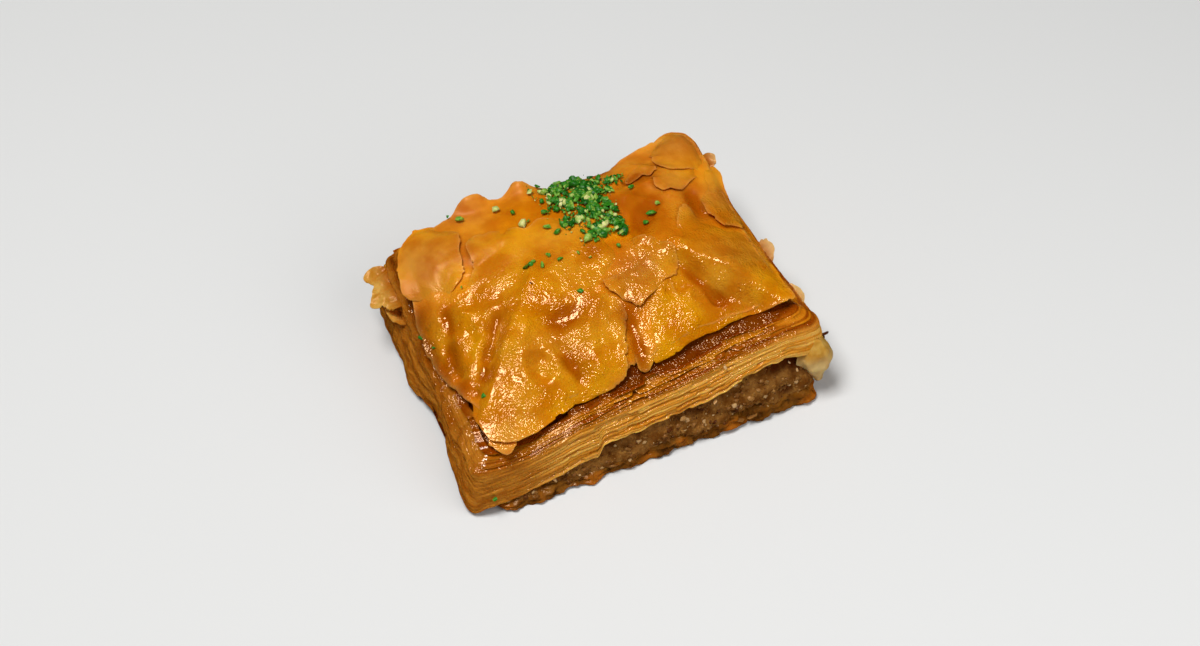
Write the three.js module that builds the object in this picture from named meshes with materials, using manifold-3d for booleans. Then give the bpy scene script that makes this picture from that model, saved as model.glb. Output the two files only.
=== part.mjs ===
// A cut piece of baklava: a caramelised base of thin pastry leaves, a layer of ground walnut
// filling, and a taller stack of pastry leaves whose crisp top leaf has puffed up and torn into
// overlapping flakes, with chopped pistachio sprinkled on it. Millimetres, +Z up. The origin is
// the middle of the footprint on the surface the piece rests on, and +X runs along the longer side.
import * as THREE from "three";
import { LoftGeometry } from "three/addons/geometries/LoftGeometry.js";
import { ImprovedNoise } from "three/addons/math/ImprovedNoise.js";
import { mergeVertices } from "three/addons/utils/BufferGeometryUtils.js";
import Module from "manifold-3d";

const wasm = await Module();
wasm.setup();

// ---- Driving dimensions ----

const LENGTH = 56; // the cut piece along X
const WIDTH = 43.6; // and along Y
const CRUST_HEIGHT = 2.6; // top of the base leaves, on average
const FILLING_HEIGHT = 6.8; // top of the nut filling, on average
const FILLING_SWELL = 3.4; // how much higher it is at the front right, where the nuts lie thickest
const PRESSED_CRUST = 1.6; // tops of both at the front left corner, which was pressed down
const PRESSED_FILLING = 2.8;
const LEAF_HEIGHTS = { frontLeft: 11.6, frontRight: 14.6, backRight: 18.9, backLeft: 16.9 };
const LEAF_RISE = 4.8; // how far the puffed middle stands above the line between the corners
const LAYER_GAP = 0.4; // between the filling and the pastry on either side of it

const LEAF_LENGTH = 49.4; // the puffed top leaf is smaller than the stack below it
const LEAF_WIDTH = 36.4;
const LEAF_SHIFT = 0.8; // and sits a little towards the back
const LEAF_SLANT = 1.2; // more so at its right end
const LEAF_SHEET = 0.55; // how deep the top leaf's own edge is
const PUFF_FLOOR = 10; // inside that edge it reaches down to this height, to fuse to the stack
const FLAKE_ROOT = 1.1; // how deep the loose flakes reach into it

const AROUND = 104; // points round each section of the stack
const LEVEL_REACH = 0.78; // each layer is level inside this share of the footprint
const HAIR = 0.05; // how far that level middle lies outside the mean height of the layer's rim
const CORNER_POWER = 20; // how square the corners are

// ---- Small maths ----

const { lerp, smoothstep, seededRandom, clamp } = THREE.MathUtils;
const perlin = new ImprovedNoise();

// Smooth noise from -1 to 1. size is the width of one lump in millimetres.
const lumps = (x, y, z, size) => perlin.noise(x / size + 17.3, y / size + 5.7, z / size + 9.1) * 1.6;

// A point of a four-sided footprint. u and v run from -1 to 1 between its corners.
function inFootprint({ frontLeft, frontRight, backRight, backLeft }, u, v) {
  const front = new THREE.Vector2().lerpVectors(frontLeft, frontRight, (u + 1) / 2);
  const back = new THREE.Vector2().lerpVectors(backLeft, backRight, (u + 1) / 2);
  return front.lerp(back, (v + 1) / 2);
}

// How far the rounded square reaches in one direction. A power of 2 makes it a circle.
function squareReach(angle, power = CORNER_POWER) {
  const c = Math.abs(Math.cos(angle)) ** power;
  const s = Math.abs(Math.sin(angle)) ** power;
  return (c + s) ** (-1 / power);
}

// The four corners of a footprint, each given as how far it stands out past the cut piece's corner.
function footprint(frontLeft, frontRight, backRight, backLeft) {
  const x = LENGTH / 2;
  const y = WIDTH / 2;
  return {
    frontLeft: new THREE.Vector2(-x - frontLeft[0], -y - frontLeft[1]),
    frontRight: new THREE.Vector2(x + frontRight[0], -y - frontRight[1]),
    backRight: new THREE.Vector2(x + backRight[0], y + backRight[1]),
    backLeft: new THREE.Vector2(-x - backLeft[0], y + backLeft[1]),
  };
}

function mixFootprints(a, b, t) {
  const mixed = {};
  for (const corner of Object.keys(a)) mixed[corner] = a[corner].clone().lerp(b[corner], t);
  return mixed;
}

// ---- Heights ----

// A fold or dent: a raised or sunken line from one point to another with soft sides and ends.
function fold(x, y, { from, to, width, height }) {
  const along = new THREE.Vector2(to[0] - from[0], to[1] - from[1]);
  const offset = new THREE.Vector2(x - from[0], y - from[1]);
  const t = clamp(offset.dot(along) / along.lengthSq(), 0, 1);
  const away = offset.distanceTo(along.multiplyScalar(t)) / width;
  return height * Math.exp(-away * away);
}

// The creases of the puffed top: ridges that run out to the front corners, the hollows between
// them, and the curled bumps along the back edge.
const FOLDS = [
  { from: [-10, 0], to: [-24, -13.5], width: 1.7, height: 1.5 },
  { from: [-6, -4], to: [-14, -9], width: 1.5, height: 0.5 },
  { from: [-12.5, -6.5], to: [-7, -8], width: 2.2, height: -1.3 },
  { from: [-4, -5], to: [-5.5, -16], width: 1.4, height: 1.1 },
  { from: [-9.5, -12], to: [-9, -17], width: 1.3, height: -0.8 },
  { from: [-14.5, -10], to: [-20, -17], width: 2.6, height: 0.8 },
  { from: [-19, -3], to: [-21, -9], width: 1.8, height: -1.2 },
  { from: [-22, 4.5], to: [-18, 1.5], width: 1.5, height: 0.9 },
  { from: [-22, -1], to: [-18.5, -3], width: 1.4, height: 0.6 },
  { from: [11.6, -2.2], to: [24, -15], width: 2.3, height: 1.6 },
  { from: [13, -7], to: [19, -13.5], width: 1.8, height: -1.1 },
  { from: [11, -5.5], to: [15.5, -12.5], width: 1.2, height: 0.7 },
  { from: [9.5, -9], to: [6.5, -13], width: 1.3, height: 0.8 },
  { from: [1, -9], to: [0.5, -17], width: 1.2, height: -1.3 },
  { from: [12, 6], to: [17, 3], width: 2.6, height: -0.9 },
  { from: [-16, 13], to: [-17, 5], width: 0.9, height: -1.1 },
  { from: [-13.5, 20.5], to: [-12, 18.5], width: 1.7, height: 2.2 },
  { from: [-5.2, 20.2], to: [-4.4, 17.5], width: 1.6, height: 2 },
  { from: [1, 19.5], to: [13, 19.5], width: 3, height: -1 },
  { from: [17, 20], to: [23, 19], width: 2.4, height: 0.6 },
];

// The top of the leaf that lies under the loose flakes.
function leafHeight(x, y) {
  const u = clamp((2 * x) / LEAF_LENGTH, -1.1, 1.1);
  const v = clamp((2 * (y - LEAF_SHIFT)) / LEAF_WIDTH, -1.1, 1.1);
  const { frontLeft, frontRight, backRight, backLeft } = LEAF_HEIGHTS;
  const front = lerp(frontLeft, frontRight, (u + 1) / 2);
  const back = lerp(backLeft, backRight, (u + 1) / 2);
  const puff = Math.max(0, 1 - Math.abs(u) ** 2.6) * Math.max(0, 1 - Math.abs(v) ** 2.2);
  const creases = FOLDS.reduce((sum, crease) => sum + fold(x, y, crease), 0);
  return lerp(front, back, (v + 1) / 2) + LEAF_RISE * puff + creases + 0.25 * lumps(x, y, 0, 5);
}

// Both lower layers thin out towards the front left corner: 0 where they are pressed, 1 where full.
const fullness = (x, y) => smoothstep(Math.hypot(x + LENGTH / 2, (y + WIDTH / 2) * 0.8), 6, 24);

function fillingHeight(x, y) {
  const swelling = FILLING_SWELL * smoothstep(x, 4, 19) * smoothstep(-y, 2, 20);
  const full = FILLING_HEIGHT + swelling + 0.3 * lumps(x, y, 3, 14);
  return lerp(PRESSED_FILLING, full, fullness(x, y));
}

function crustHeight(x, y) {
  const full = CRUST_HEIGHT + 0.012 * x + 0.25 * lumps(x, y, 8, 14);
  return lerp(PRESSED_CRUST, full, fullness(x, y));
}

// ---- Lofted layers ----

// One closed section of a layer. rough moves each point in or out along its ray.
function section(corners, height, rough) {
  const points = [];
  for (let i = 0; i < AROUND; i++) {
    const angle = (2 * Math.PI * i) / AROUND;
    const r = squareReach(angle);
    const p = inFootprint(corners, r * Math.cos(angle), r * Math.sin(angle));
    p.setLength(p.length() + rough(p));
    points.push(new THREE.Vector3(p.x, p.y, height(p.x, p.y)));
  }
  return points;
}

// A level oval ring inside a layer, from which its underside or top runs out to the rim.
function levelRing(height) {
  const points = [];
  for (let i = 0; i < AROUND; i++) {
    const angle = (2 * Math.PI * i) / AROUND;
    const r = (LEVEL_REACH / 2) * squareReach(angle, 3);
    points.push(new THREE.Vector3(LENGTH * r * Math.cos(angle), WIDTH * r * Math.sin(angle), height));
  }
  return points;
}

const meanHeight = (points) => points.reduce((sum, { z }) => sum + z, 0) / points.length;

// The level middle of a layer's underside or top, a hair outside the mean height of the rim, so that
// the cap that closes it faces away from the layer.
const underMiddle = (rim) => levelRing(meanHeight(rim) - HAIR);
const topMiddle = (rim) => levelRing(meanHeight(rim) + HAIR);

const layer = (sections) => new LoftGeometry(sections, { capStart: true, capEnd: true });

// Places where the cut sides of the upper stack swell out, how wide and how far.
const SWELLS = [
  { at: [-28.5, 7], size: 7, out: 1.2 },
  { at: [-28.5, -5], size: 5, out: 0.8 },
  { at: [28.5, 1], size: 3, out: 0.9 },
  { at: [28.5, -9], size: 3, out: 0.9 },
  { at: [12, -21], size: 9, out: 0.5 },
];

function swell({ x, y }) {
  return SWELLS.reduce((sum, { at, size, out }) => {
    const away = Math.hypot(x - at[0], y - at[1]) / size;
    return sum + out * Math.exp(-away * away);
  }, 0);
}

// Leaf edges seen from the side: rounded ridges with creases between them, from low to high.
function leafEdges({ count, low, high, lowHeight, highHeight, depth, seed, bulge = () => 0 }) {
  const sections = [];
  for (let i = 0; i < 2 * count; i++) {
    const t = (i + 0.5) / (2 * count);
    const ridge = i % 2 ? 1 : -0.7;
    const height = (x, y) => lerp(lowHeight(x, y), highHeight(x, y), t);
    const rough = (p) => {
      const edge = depth * ridge * (0.6 + 0.4 * lumps(p.x, p.y, seed + i, 6));
      return bulge(p) + edge + 0.4 * lumps(p.x, p.y, seed, 8);
    };
    sections.push(section(mixFootprints(low, high, t), height, rough));
  }
  return sections;
}

// ---- Solids ----

function solid({ index, attributes }) {
  const bare = new THREE.BufferGeometry().setIndex(index).setAttribute("position", attributes.position);
  const merged = mergeVertices(bare, 1e-4);
  const vertProperties = new Float32Array(merged.attributes.position.array);
  const triVerts = new Uint32Array(merged.index.array);
  return new wasm.Manifold(new wasm.Mesh({ numProp: 3, vertProperties, triVerts }));
}

function geometryOf(manifold) {
  const { vertProperties, triVerts } = manifold.getMesh();
  const geometry = new THREE.BufferGeometry();
  geometry.setAttribute("position", new THREE.BufferAttribute(vertProperties, 3));
  geometry.setIndex(new THREE.BufferAttribute(triVerts, 1));
  geometry.computeVertexNormals();
  return geometry;
}

// ---- Base leaves ----

const CRUST_FOOT = footprint([-2, 0.9], [-2.2, 0.8], [-1, -0.6], [-1.8, -1.4]);
const CRUST_TOP = footprint([-2, 0.4], [-0.8, 0.5], [-0.2, -0.2], [-1.8, -1.6]);
const CRUST_LEAVES = 2;

function baseLeaves() {
  const edges = leafEdges({
    count: CRUST_LEAVES,
    low: CRUST_FOOT,
    high: CRUST_TOP,
    lowHeight: () => 0,
    highHeight: crustHeight,
    depth: 0.35,
    seed: 2,
  });
  return layer([levelRing(0), ...edges, topMiddle(edges.at(-1))]);
}

// ---- Nut filling ----

const FILLING_LOW = footprint([-2.2, -0.8], [-1.4, -0.4], [-0.8, -0.8], [-2, -1.9]);
const FILLING_HIGH = footprint([-2.4, -1.2], [-0.9, -1.7], [-0.4, -0.9], [-2.2, -2.1]);
const CRUMBLE = 0.55; // how far the nut pieces stand out of the cut face
const CRUMBLE_ROWS = 3;

function nutFilling() {
  const floor = (x, y) => crustHeight(x, y) + LAYER_GAP;
  const ceiling = (x, y) => fillingHeight(x, y) - LAYER_GAP;
  const edges = [];
  for (let row = 0; row < CRUMBLE_ROWS; row++) {
    const t = row / (CRUMBLE_ROWS - 1);
    const height = (x, y) => lerp(floor(x, y), ceiling(x, y), t);
    const rough = (p) => CRUMBLE * lumps(p.x, p.y, 4 * row, 2.6);
    edges.push(section(mixFootprints(FILLING_LOW, FILLING_HIGH, t), height, rough));
  }
  return layer([underMiddle(edges[0]), ...edges, topMiddle(edges.at(-1))]);
}

// ---- Upper stack of leaves ----

const STACK_UNDER = footprint([-0.8, -1.2], [0, -2.2], [-0.6, -1.7], [-0.8, -0.9]); // above the filling
const STACK_LIP = footprint([0.1, -0.5], [0.8, -1.4], [0.2, -0.9], [0.1, -0.2]); // inside its foot
const STACK_LOW = footprint([1.1, 0.2], [1.3, -0.8], [0.8, -0.3], [0.8, 0.4]);
const STACK_MIDDLE = footprint([0.4, -0.5], [0.5, -2.3], [0.2, -1.1], [0.2, -0.4]);
const STACK_HIGH = footprint([-1.4, -1.7], [-2.4, -5], [-2, -2.5], [-1.6, -2.6]);
const THROAT = footprint([-4.6, -5], [-5.2, -8.6], [-5.4, -4.4], [-5, -5]); // under the puffed leaf
const PALE_LEAVES = 4; // the leaves that stayed pale, above the filling
const AMBER_LEAVES = 3; // the syrup-soaked ones under the puffed leaf
const PALE_SHARE = 0.66; // how much of the stack's height the pale leaves take
const UNDER_LEAF = { left: 1.9, right: 0.5 }; // how far its shoulder lies below the top leaf
const HANG_HEIGHT = 1.2; // on the left the leaves were pressed down by the knife, almost to the floor

function stackFoot(x, y) {
  return lerp(fillingHeight(x, y), HANG_HEIGHT, smoothstep(-x, 25.4, 27.4));
}

function upperStack() {
  const across = (x) => clamp(x / LENGTH + 0.5, 0, 1);
  const shoulder = (x, y) => leafHeight(x, y) - lerp(UNDER_LEAF.left, UNDER_LEAF.right, across(x));
  const paleTop = (x, y) => lerp(fillingHeight(x, y), shoulder(x, y), PALE_SHARE);
  const smooth = () => 0;
  const pale = leafEdges({
    count: PALE_LEAVES,
    low: STACK_LOW,
    high: STACK_MIDDLE,
    lowHeight: stackFoot,
    highHeight: paleTop,
    depth: 0.28,
    seed: 30,
    bulge: swell,
  });
  const amber = leafEdges({
    count: AMBER_LEAVES,
    low: STACK_MIDDLE,
    high: STACK_HIGH,
    lowHeight: paleTop,
    highHeight: shoulder,
    depth: 0.36,
    seed: 50,
    bulge: swell,
  });
  const inLeaf = (x, y) => leafHeight(x, y) - LEAF_SHEET / 2;
  const throat = section(THROAT, inLeaf, (p) => 0.3 * lumps(p.x, p.y, 70, 7));
  const under = section(STACK_UNDER, fillingHeight, smooth);
  const lip = section(STACK_LIP, stackFoot, smooth);
  return layer([underMiddle(under), under, lip, ...pale, ...amber, throat]);
}

// ---- Puffed top leaf and its torn flakes ----

// Each flake is an outline seen from above and how far it stands proud of the leaf under it.
const FLAKES = [
  {
    name: "front left leaf, with the tongue that droops over the corner",
    lift: 0.6,
    outline: [
      [-2, 10], [-9, 11.5], [-15, 13], [-17, 10.5], [-17, 7], [-19.5, 4.5], [-23.5, 4.5], [-25.5, 2.5],
      [-24.5, -3], [-23.5, -8], [-25, -12.5], [-25.5, -16.5], [-23.5, -19], [-20.5, -20], [-15.5, -19],
      [-11, -17.5], [-6.5, -18], [-3, -17.5], [-2, -14.5], [1, -10], [-1.5, -4.5], [1, 2],
    ],
  },
  {
    name: "front right leaf",
    lift: 0.6,
    outline: [
      [3, -9], [2, -12], [1.5, -16.5], [6, -16], [8.5, -15.5], [12.5, -15], [17, -14.5], [20, -15],
      [24.5, -15.5], [22, -11], [14, -5], [9, -5.5], [5.5, -7.5],
    ],
  },
  {
    name: "strip in the crack between the two front leaves",
    lift: 0.25,
    outline: [[2.5, -10.5], [-0.5, -12], [-1, -16], [0.5, -16.5], [1, -14]],
  },
  {
    name: "middle flake",
    lift: 1.1,
    outline: [[6, 1.5], [11.5, -1], [10.5, -5.5], [8.5, -7], [5, -8.5], [3, -9.5], [-1.5, -4], [3.5, -2.5]],
  },
  {
    name: "flap with the long ridge to the right corner",
    lift: 0.9,
    outline: [
      [15.5, 4], [17.5, 1.5], [20, -1.5], [24, -1.5], [24, -9], [25, -15.5], [20.5, -15], [15.5, -12],
      [11, -4], [13, 0.5],
    ],
  },
  {
    name: "flake along the right edge",
    lift: 1.1,
    outline: [
      [22, 11.5], [25.5, 11.5], [24.5, 6.5], [24, -1], [21, -1], [19, 0], [19, 4.5], [20.5, 6.5], [18, 8.5],
    ],
  },
  {
    name: "flake on the far corner",
    lift: 0.7,
    outline: [[18.5, 20.5], [22, 20.5], [24, 19.5], [25, 14], [24.5, 12], [18, 12.5], [16.5, 18]],
  },
  {
    name: "flake on the back left corner",
    lift: 0.9,
    outline: [
      [-21, 18.5], [-18, 17.5], [-15.5, 14], [-17.5, 10.5], [-18, 6.5], [-20.5, 5.5], [-25, 7], [-26, 9.5],
      [-25.5, 14.5], [-24, 17.5],
    ],
  },
  {
    name: "small torn flap by the far corner",
    lift: 0.7,
    outline: [[14, 12], [16, 11.5], [22, 11], [18, 8.5], [16, 6.5], [14, 10]],
  },
];

const GRID = 1.73; // spacing of the points that carry the puffed surface, alike for every slab

// A slab that follows the leaf, from its underside to lift above it, cut to an outline.
function leafSlab(shape, lift, underside) {
  const box = new THREE.Box2().setFromPoints(shape.getPoints());
  const low = box.min.divideScalar(GRID).subScalar(0.5).floor();
  const high = box.max.divideScalar(GRID).addScalar(0.5).ceil();
  const [columns, rows] = high.clone().sub(low);
  const slab = new THREE.BoxGeometry(GRID * columns, GRID * rows, 1, columns, rows, 1);
  const middle = high.add(low).multiplyScalar(GRID / 2);
  slab.translate(middle.x, middle.y, 0);
  const position = slab.attributes.position;
  for (let i = 0; i < position.count; i++) {
    const [x, y] = [position.getX(i), position.getY(i)];
    position.setZ(i, position.getZ(i) > 0 ? leafHeight(x, y) + lift : underside(x, y));
  }
  const prism = new THREE.ExtrudeGeometry(shape, { depth: 60, bevelEnabled: false });
  return solid(slab).intersect(solid(prism));
}

const sheetUnderside = (x, y) => leafHeight(x, y) - LEAF_SHEET;
const flakeUnderside = (x, y) => leafHeight(x, y) - FLAKE_ROOT;

// The leaf that lies under the flakes: a thin rim round a deep middle. Its rim is a little ragged,
// and slants so that it runs further back on the right.
function underLeaf() {
  const halfLength = LEAF_LENGTH / 2;
  const halfWidth = LEAF_WIDTH / 2;
  const points = [];
  for (let i = 0; i < AROUND / 2; i++) {
    const angle = (4 * Math.PI * i) / AROUND;
    const [c, s] = [Math.cos(angle), Math.sin(angle)];
    const reach = squareReach(angle) * (1 + 0.015 * lumps(30 * c, 30 * s, 0, 4));
    const y = halfWidth * reach * s + LEAF_SHIFT + LEAF_SLANT * c;
    points.push(new THREE.Vector2(halfLength * reach * c - 0.4, y));
  }
  const underside = (x, y) => {
    const rim = 1 - Math.max(Math.abs(x) / halfLength, Math.abs(y - LEAF_SHIFT) / halfWidth);
    return lerp(sheetUnderside(x, y), PUFF_FLOOR, smoothstep(rim, 0.03, 0.1));
  };
  return leafSlab(new THREE.Shape(points), 0, underside);
}

const flakes = () =>
  FLAKES.map(({ outline, lift }) => {
    const shape = new THREE.Shape(outline.map(([x, y]) => new THREE.Vector2(x, y)));
    return leafSlab(shape, lift, flakeUnderside);
  });

// Layers that stick out of the stack's side as thin frills: at the back left corner, at the front
// right corner, and twice along the right side.
const FRILL_THICKNESS = 1.4;
const FRILLS = [
  { at: [-26.5, 18.5], reach: [3.2, 3.6], height: 8.2 },
  { at: [27.5, -18.5], reach: [2.6, 2.6], height: 10.9 },
  { at: [27, -9.5], reach: [2, 2.2], height: 11 },
  { at: [26.5, 0.5], reach: [2, 1.8], height: 11.6 },
];

function frills() {
  return FRILLS.map(({ at, reach, height }, index) => {
    const frill = new THREE.SphereGeometry(1, 10, 6);
    frill.scale(reach[0], reach[1], FRILL_THICKNESS / 2);
    frill.rotateY((at[0] > 0 ? 1 : -1) * 0.25);
    const position = frill.attributes.position;
    for (let i = 0; i < position.count; i++) {
      const [x, y] = [position.getX(i), position.getY(i)];
      const ragged = 1 + 0.25 * lumps(3 * x, 3 * y, index * 5, 3);
      position.setXY(i, x * ragged, y * ragged);
    }
    return solid(frill.translate(at[0], at[1], height));
  });
}

// ---- Chopped pistachio ----

const CRUMBS = 58;
const CRUMB_SIZES = [0.45, 0.95]; // smallest and largest half width
const SPRINKLE = { middle: [2, 10.5], spread: [4, 3.4] };

function isInside(outline, x, y) {
  let inside = false;
  outline.forEach(([ax, ay], i) => {
    const [bx, by] = outline[(i + 1) % outline.length];
    if (ay > y !== by > y && x < ax + ((y - ay) * (bx - ax)) / (by - ay)) inside = !inside;
  });
  return inside;
}

function topHeight(x, y) {
  const lifts = FLAKES.filter(({ outline }) => isInside(outline, x, y)).map(({ lift }) => lift);
  return leafHeight(x, y) + Math.max(0, ...lifts);
}

// The crumbs lie thickest in the middle of the sprinkle and thin out evenly round it.
function crumbs() {
  seededRandom(7);
  return Array.from({ length: CRUMBS }, () => {
    const turn = 2 * Math.PI * seededRandom();
    const away = Math.sqrt(-2 * Math.log(1 - 0.93 * seededRandom()));
    const x = SPRINKLE.middle[0] + SPRINKLE.spread[0] * away * Math.cos(turn);
    const y = SPRINKLE.middle[1] + SPRINKLE.spread[1] * away * Math.sin(turn);
    const size = lerp(CRUMB_SIZES[0], CRUMB_SIZES[1], seededRandom() ** 1.5);
    const crumb = new THREE.IcosahedronGeometry(size, 0);
    crumb.scale(1.2, 0.9, 0.75);
    crumb.rotateX(3 * seededRandom()).rotateZ(6 * seededRandom());
    return solid(crumb.translate(x, y, topHeight(x, y) + 0.25 * size));
  });
}

function upperPastry() {
  const pieces = [solid(upperStack()), underLeaf(), ...flakes(), ...frills(), ...crumbs()];
  return geometryOf(pieces.reduce((whole, piece) => whole.add(piece)));
}

// ---- The piece ----

const material = (color, roughness) => new THREE.MeshStandardMaterial({ color, roughness, metalness: 0 });

const baklava = new THREE.Group();
baklava.name = "baklava_piece";
[
  ["base_leaves", baseLeaves(), material("#6e3410", 0.35)],
  ["nut_filling", nutFilling(), material("#7a5a3c", 0.5)],
  ["upper_leaves", upperPastry(), material("#cf8420", 0.3)],
].forEach(([name, geometry, finish]) => {
  const mesh = new THREE.Mesh(geometry, finish);
  mesh.name = name;
  baklava.add(mesh);
});

export default baklava;
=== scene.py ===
import math
import random

import bmesh
import bpy
import numpy as np
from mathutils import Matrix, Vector, noise
from mathutils.geometry import delaunay_2d_cdt


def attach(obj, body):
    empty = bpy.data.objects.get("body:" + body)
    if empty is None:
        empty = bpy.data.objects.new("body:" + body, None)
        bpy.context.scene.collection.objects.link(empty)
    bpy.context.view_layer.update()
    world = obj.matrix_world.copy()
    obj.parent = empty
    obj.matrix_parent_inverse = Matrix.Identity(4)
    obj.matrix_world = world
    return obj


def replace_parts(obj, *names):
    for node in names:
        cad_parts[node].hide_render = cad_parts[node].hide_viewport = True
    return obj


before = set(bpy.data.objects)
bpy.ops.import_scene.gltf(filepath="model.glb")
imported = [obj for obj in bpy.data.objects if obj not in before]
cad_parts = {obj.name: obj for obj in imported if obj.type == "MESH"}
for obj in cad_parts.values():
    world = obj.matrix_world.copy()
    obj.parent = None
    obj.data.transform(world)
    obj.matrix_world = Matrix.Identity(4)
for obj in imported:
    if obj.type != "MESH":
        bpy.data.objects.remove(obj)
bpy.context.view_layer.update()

# ----------------------------------------
# Base leaves. A few sheets of phyllo that fried in butter at the bottom of the tray and then soaked
# up the syrup: rust-brown, chewy and lumpy, with an orange glow where they are thin. Syrup sticks
# them to the filling above, and the piece rests on them.

MM = 0.001  # metres
LENGTH, WIDTH = 56.0, 43.6
AROUND = 960  # points round the rim of a layer
CORNER_POWER = 22  # how square its corners are
SHARP_ANGLE = 70  # degrees from which an edge stays crisp


def lumps(x, y, z, size):
    """Smooth noise from about -1 to 1 at each point. size is the width of one lump."""
    x, y, z = np.broadcast_arrays(np.asarray(x, float), y, z)
    points = np.stack([x, y, z], axis=-1).reshape(-1, 3) / size
    return np.array([noise.noise(p) for p in points.tolist()]).reshape(x.shape)


def ripples(x, y, *waves):
    """Waves of lumps added up, each given as its height, its width, and its place in the noise."""
    return sum(height * lumps(x, y, place, width) for height, width, place in waves)


def mound(*ways):
    """1 in the middle of a soft mound and 0 far from it, at so many widths away along each way."""
    return np.exp(-sum(np.square(way) for way in ways))


def mix(a, b, t):
    """a where t is 0 and b where it is 1."""
    return a + (b - a) * t


def smooth(value, low, high):
    """0 up to low, 1 from high on, and smooth in between."""
    t = np.clip((value - low) / (high - low), 0, 1)
    return t * t * (3 - 2 * t)


def square_directions():
    """Evenly spaced points round a rounded square, with u and v from -1 to 1."""
    steps = np.arange(AROUND) / AROUND * 8
    side, along = (steps // 2).astype(int), steps % 2 - 1
    u = np.choose(side, [np.ones(AROUND), -along, -np.ones(AROUND), along])
    v = np.choose(side, [along, np.ones(AROUND), -along, -np.ones(AROUND)])
    rounding = (np.abs(u) ** CORNER_POWER + np.abs(v) ** CORNER_POWER) ** (1 / CORNER_POWER)
    return u / rounding, v / rounding


AROUND_U, AROUND_V = square_directions()


def footprint(front_left, front_right, back_right, back_left):
    """Corners of a layer, each given as how far it stands out past the corner of the cut piece."""
    signs = np.array([(-1, -1), (1, -1), (1, 1), (-1, 1)])
    out = np.array([front_left, front_right, back_right, back_left])
    return signs * (np.array([LENGTH / 2, WIDTH / 2]) + out)


def moved_out(line, out):
    """A closed line of points, each moved outwards by out."""
    tangent = np.roll(line, -1, axis=0) - np.roll(line, 1, axis=0)
    tangent /= np.linalg.norm(tangent, axis=1)[:, None]
    return line + np.column_stack([tangent[:, 1], -tangent[:, 0]]) * np.reshape(out, (-1, 1))


def edge_line(corners, out=0.0):
    """Points round the rim of a layer, moved outwards by out."""
    u, v = (AROUND_U[:, None] + 1) / 2, (AROUND_V[:, None] + 1) / 2
    return moved_out(mix(mix(corners[0], corners[1], u), mix(corners[3], corners[2], u), v), out)


def ring(line, height):
    """The points of a line, lifted to a height."""
    return np.column_stack([line, np.broadcast_to(height, len(line))])


def loft(rings):
    """Vertices and faces of a closed body through rings of points, from its foot to its top."""
    points = np.concatenate([*rings, [rings[0].mean(0)], [rings[-1].mean(0)]])
    foot, top, last = len(points) - 2, len(points) - 1, (len(rings) - 1) * AROUND
    faces = []
    for row in range(0, last, AROUND):
        for i in range(AROUND):
            a, b = row + i, row + (i + 1) % AROUND
            faces.append((a, b, b + AROUND, a + AROUND))
    for i in range(AROUND):
        j = (i + 1) % AROUND
        faces += [(foot, j, i), (top, last + i, last + j)]
    return points, faces


def loft_shade(rows, ends=0):
    """A shade given ring by ring, as one number for each vertex of a loft."""
    return [*np.concatenate(rows), ends, ends]


def piece(name, points, faces, material, slot, **shades):
    """A mesh object that rides on the body. Its material reads shades, a number for each vertex."""
    mesh = bpy.data.meshes.new(name)
    mesh.from_pydata((np.asarray(points) * MM).tolist(), [], faces)
    mesh.shade_smooth()
    mesh.set_sharp_from_angle(angle=math.radians(SHARP_ANGLE))
    for shade, values in shades.items():
        stored = mesh.attributes.new(shade, "FLOAT", "POINT")
        stored.data.foreach_set("value", np.asarray(values, np.float32))
    mesh.materials.append(material)
    made = bpy.data.objects.new(name, mesh)
    bpy.context.collection.objects.link(made)
    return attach(made, "root")


def colour(code):
    """A colour written as six hexadecimal digits, as the linear values that shaders take."""
    parts = [int(code[i : i + 2], 16) / 255 for i in (0, 2, 4)]
    return (*[c / 12.92 if c <= 0.04045 else ((c + 0.055) / 1.055) ** 2.4 for c in parts], 1.0)


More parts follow.
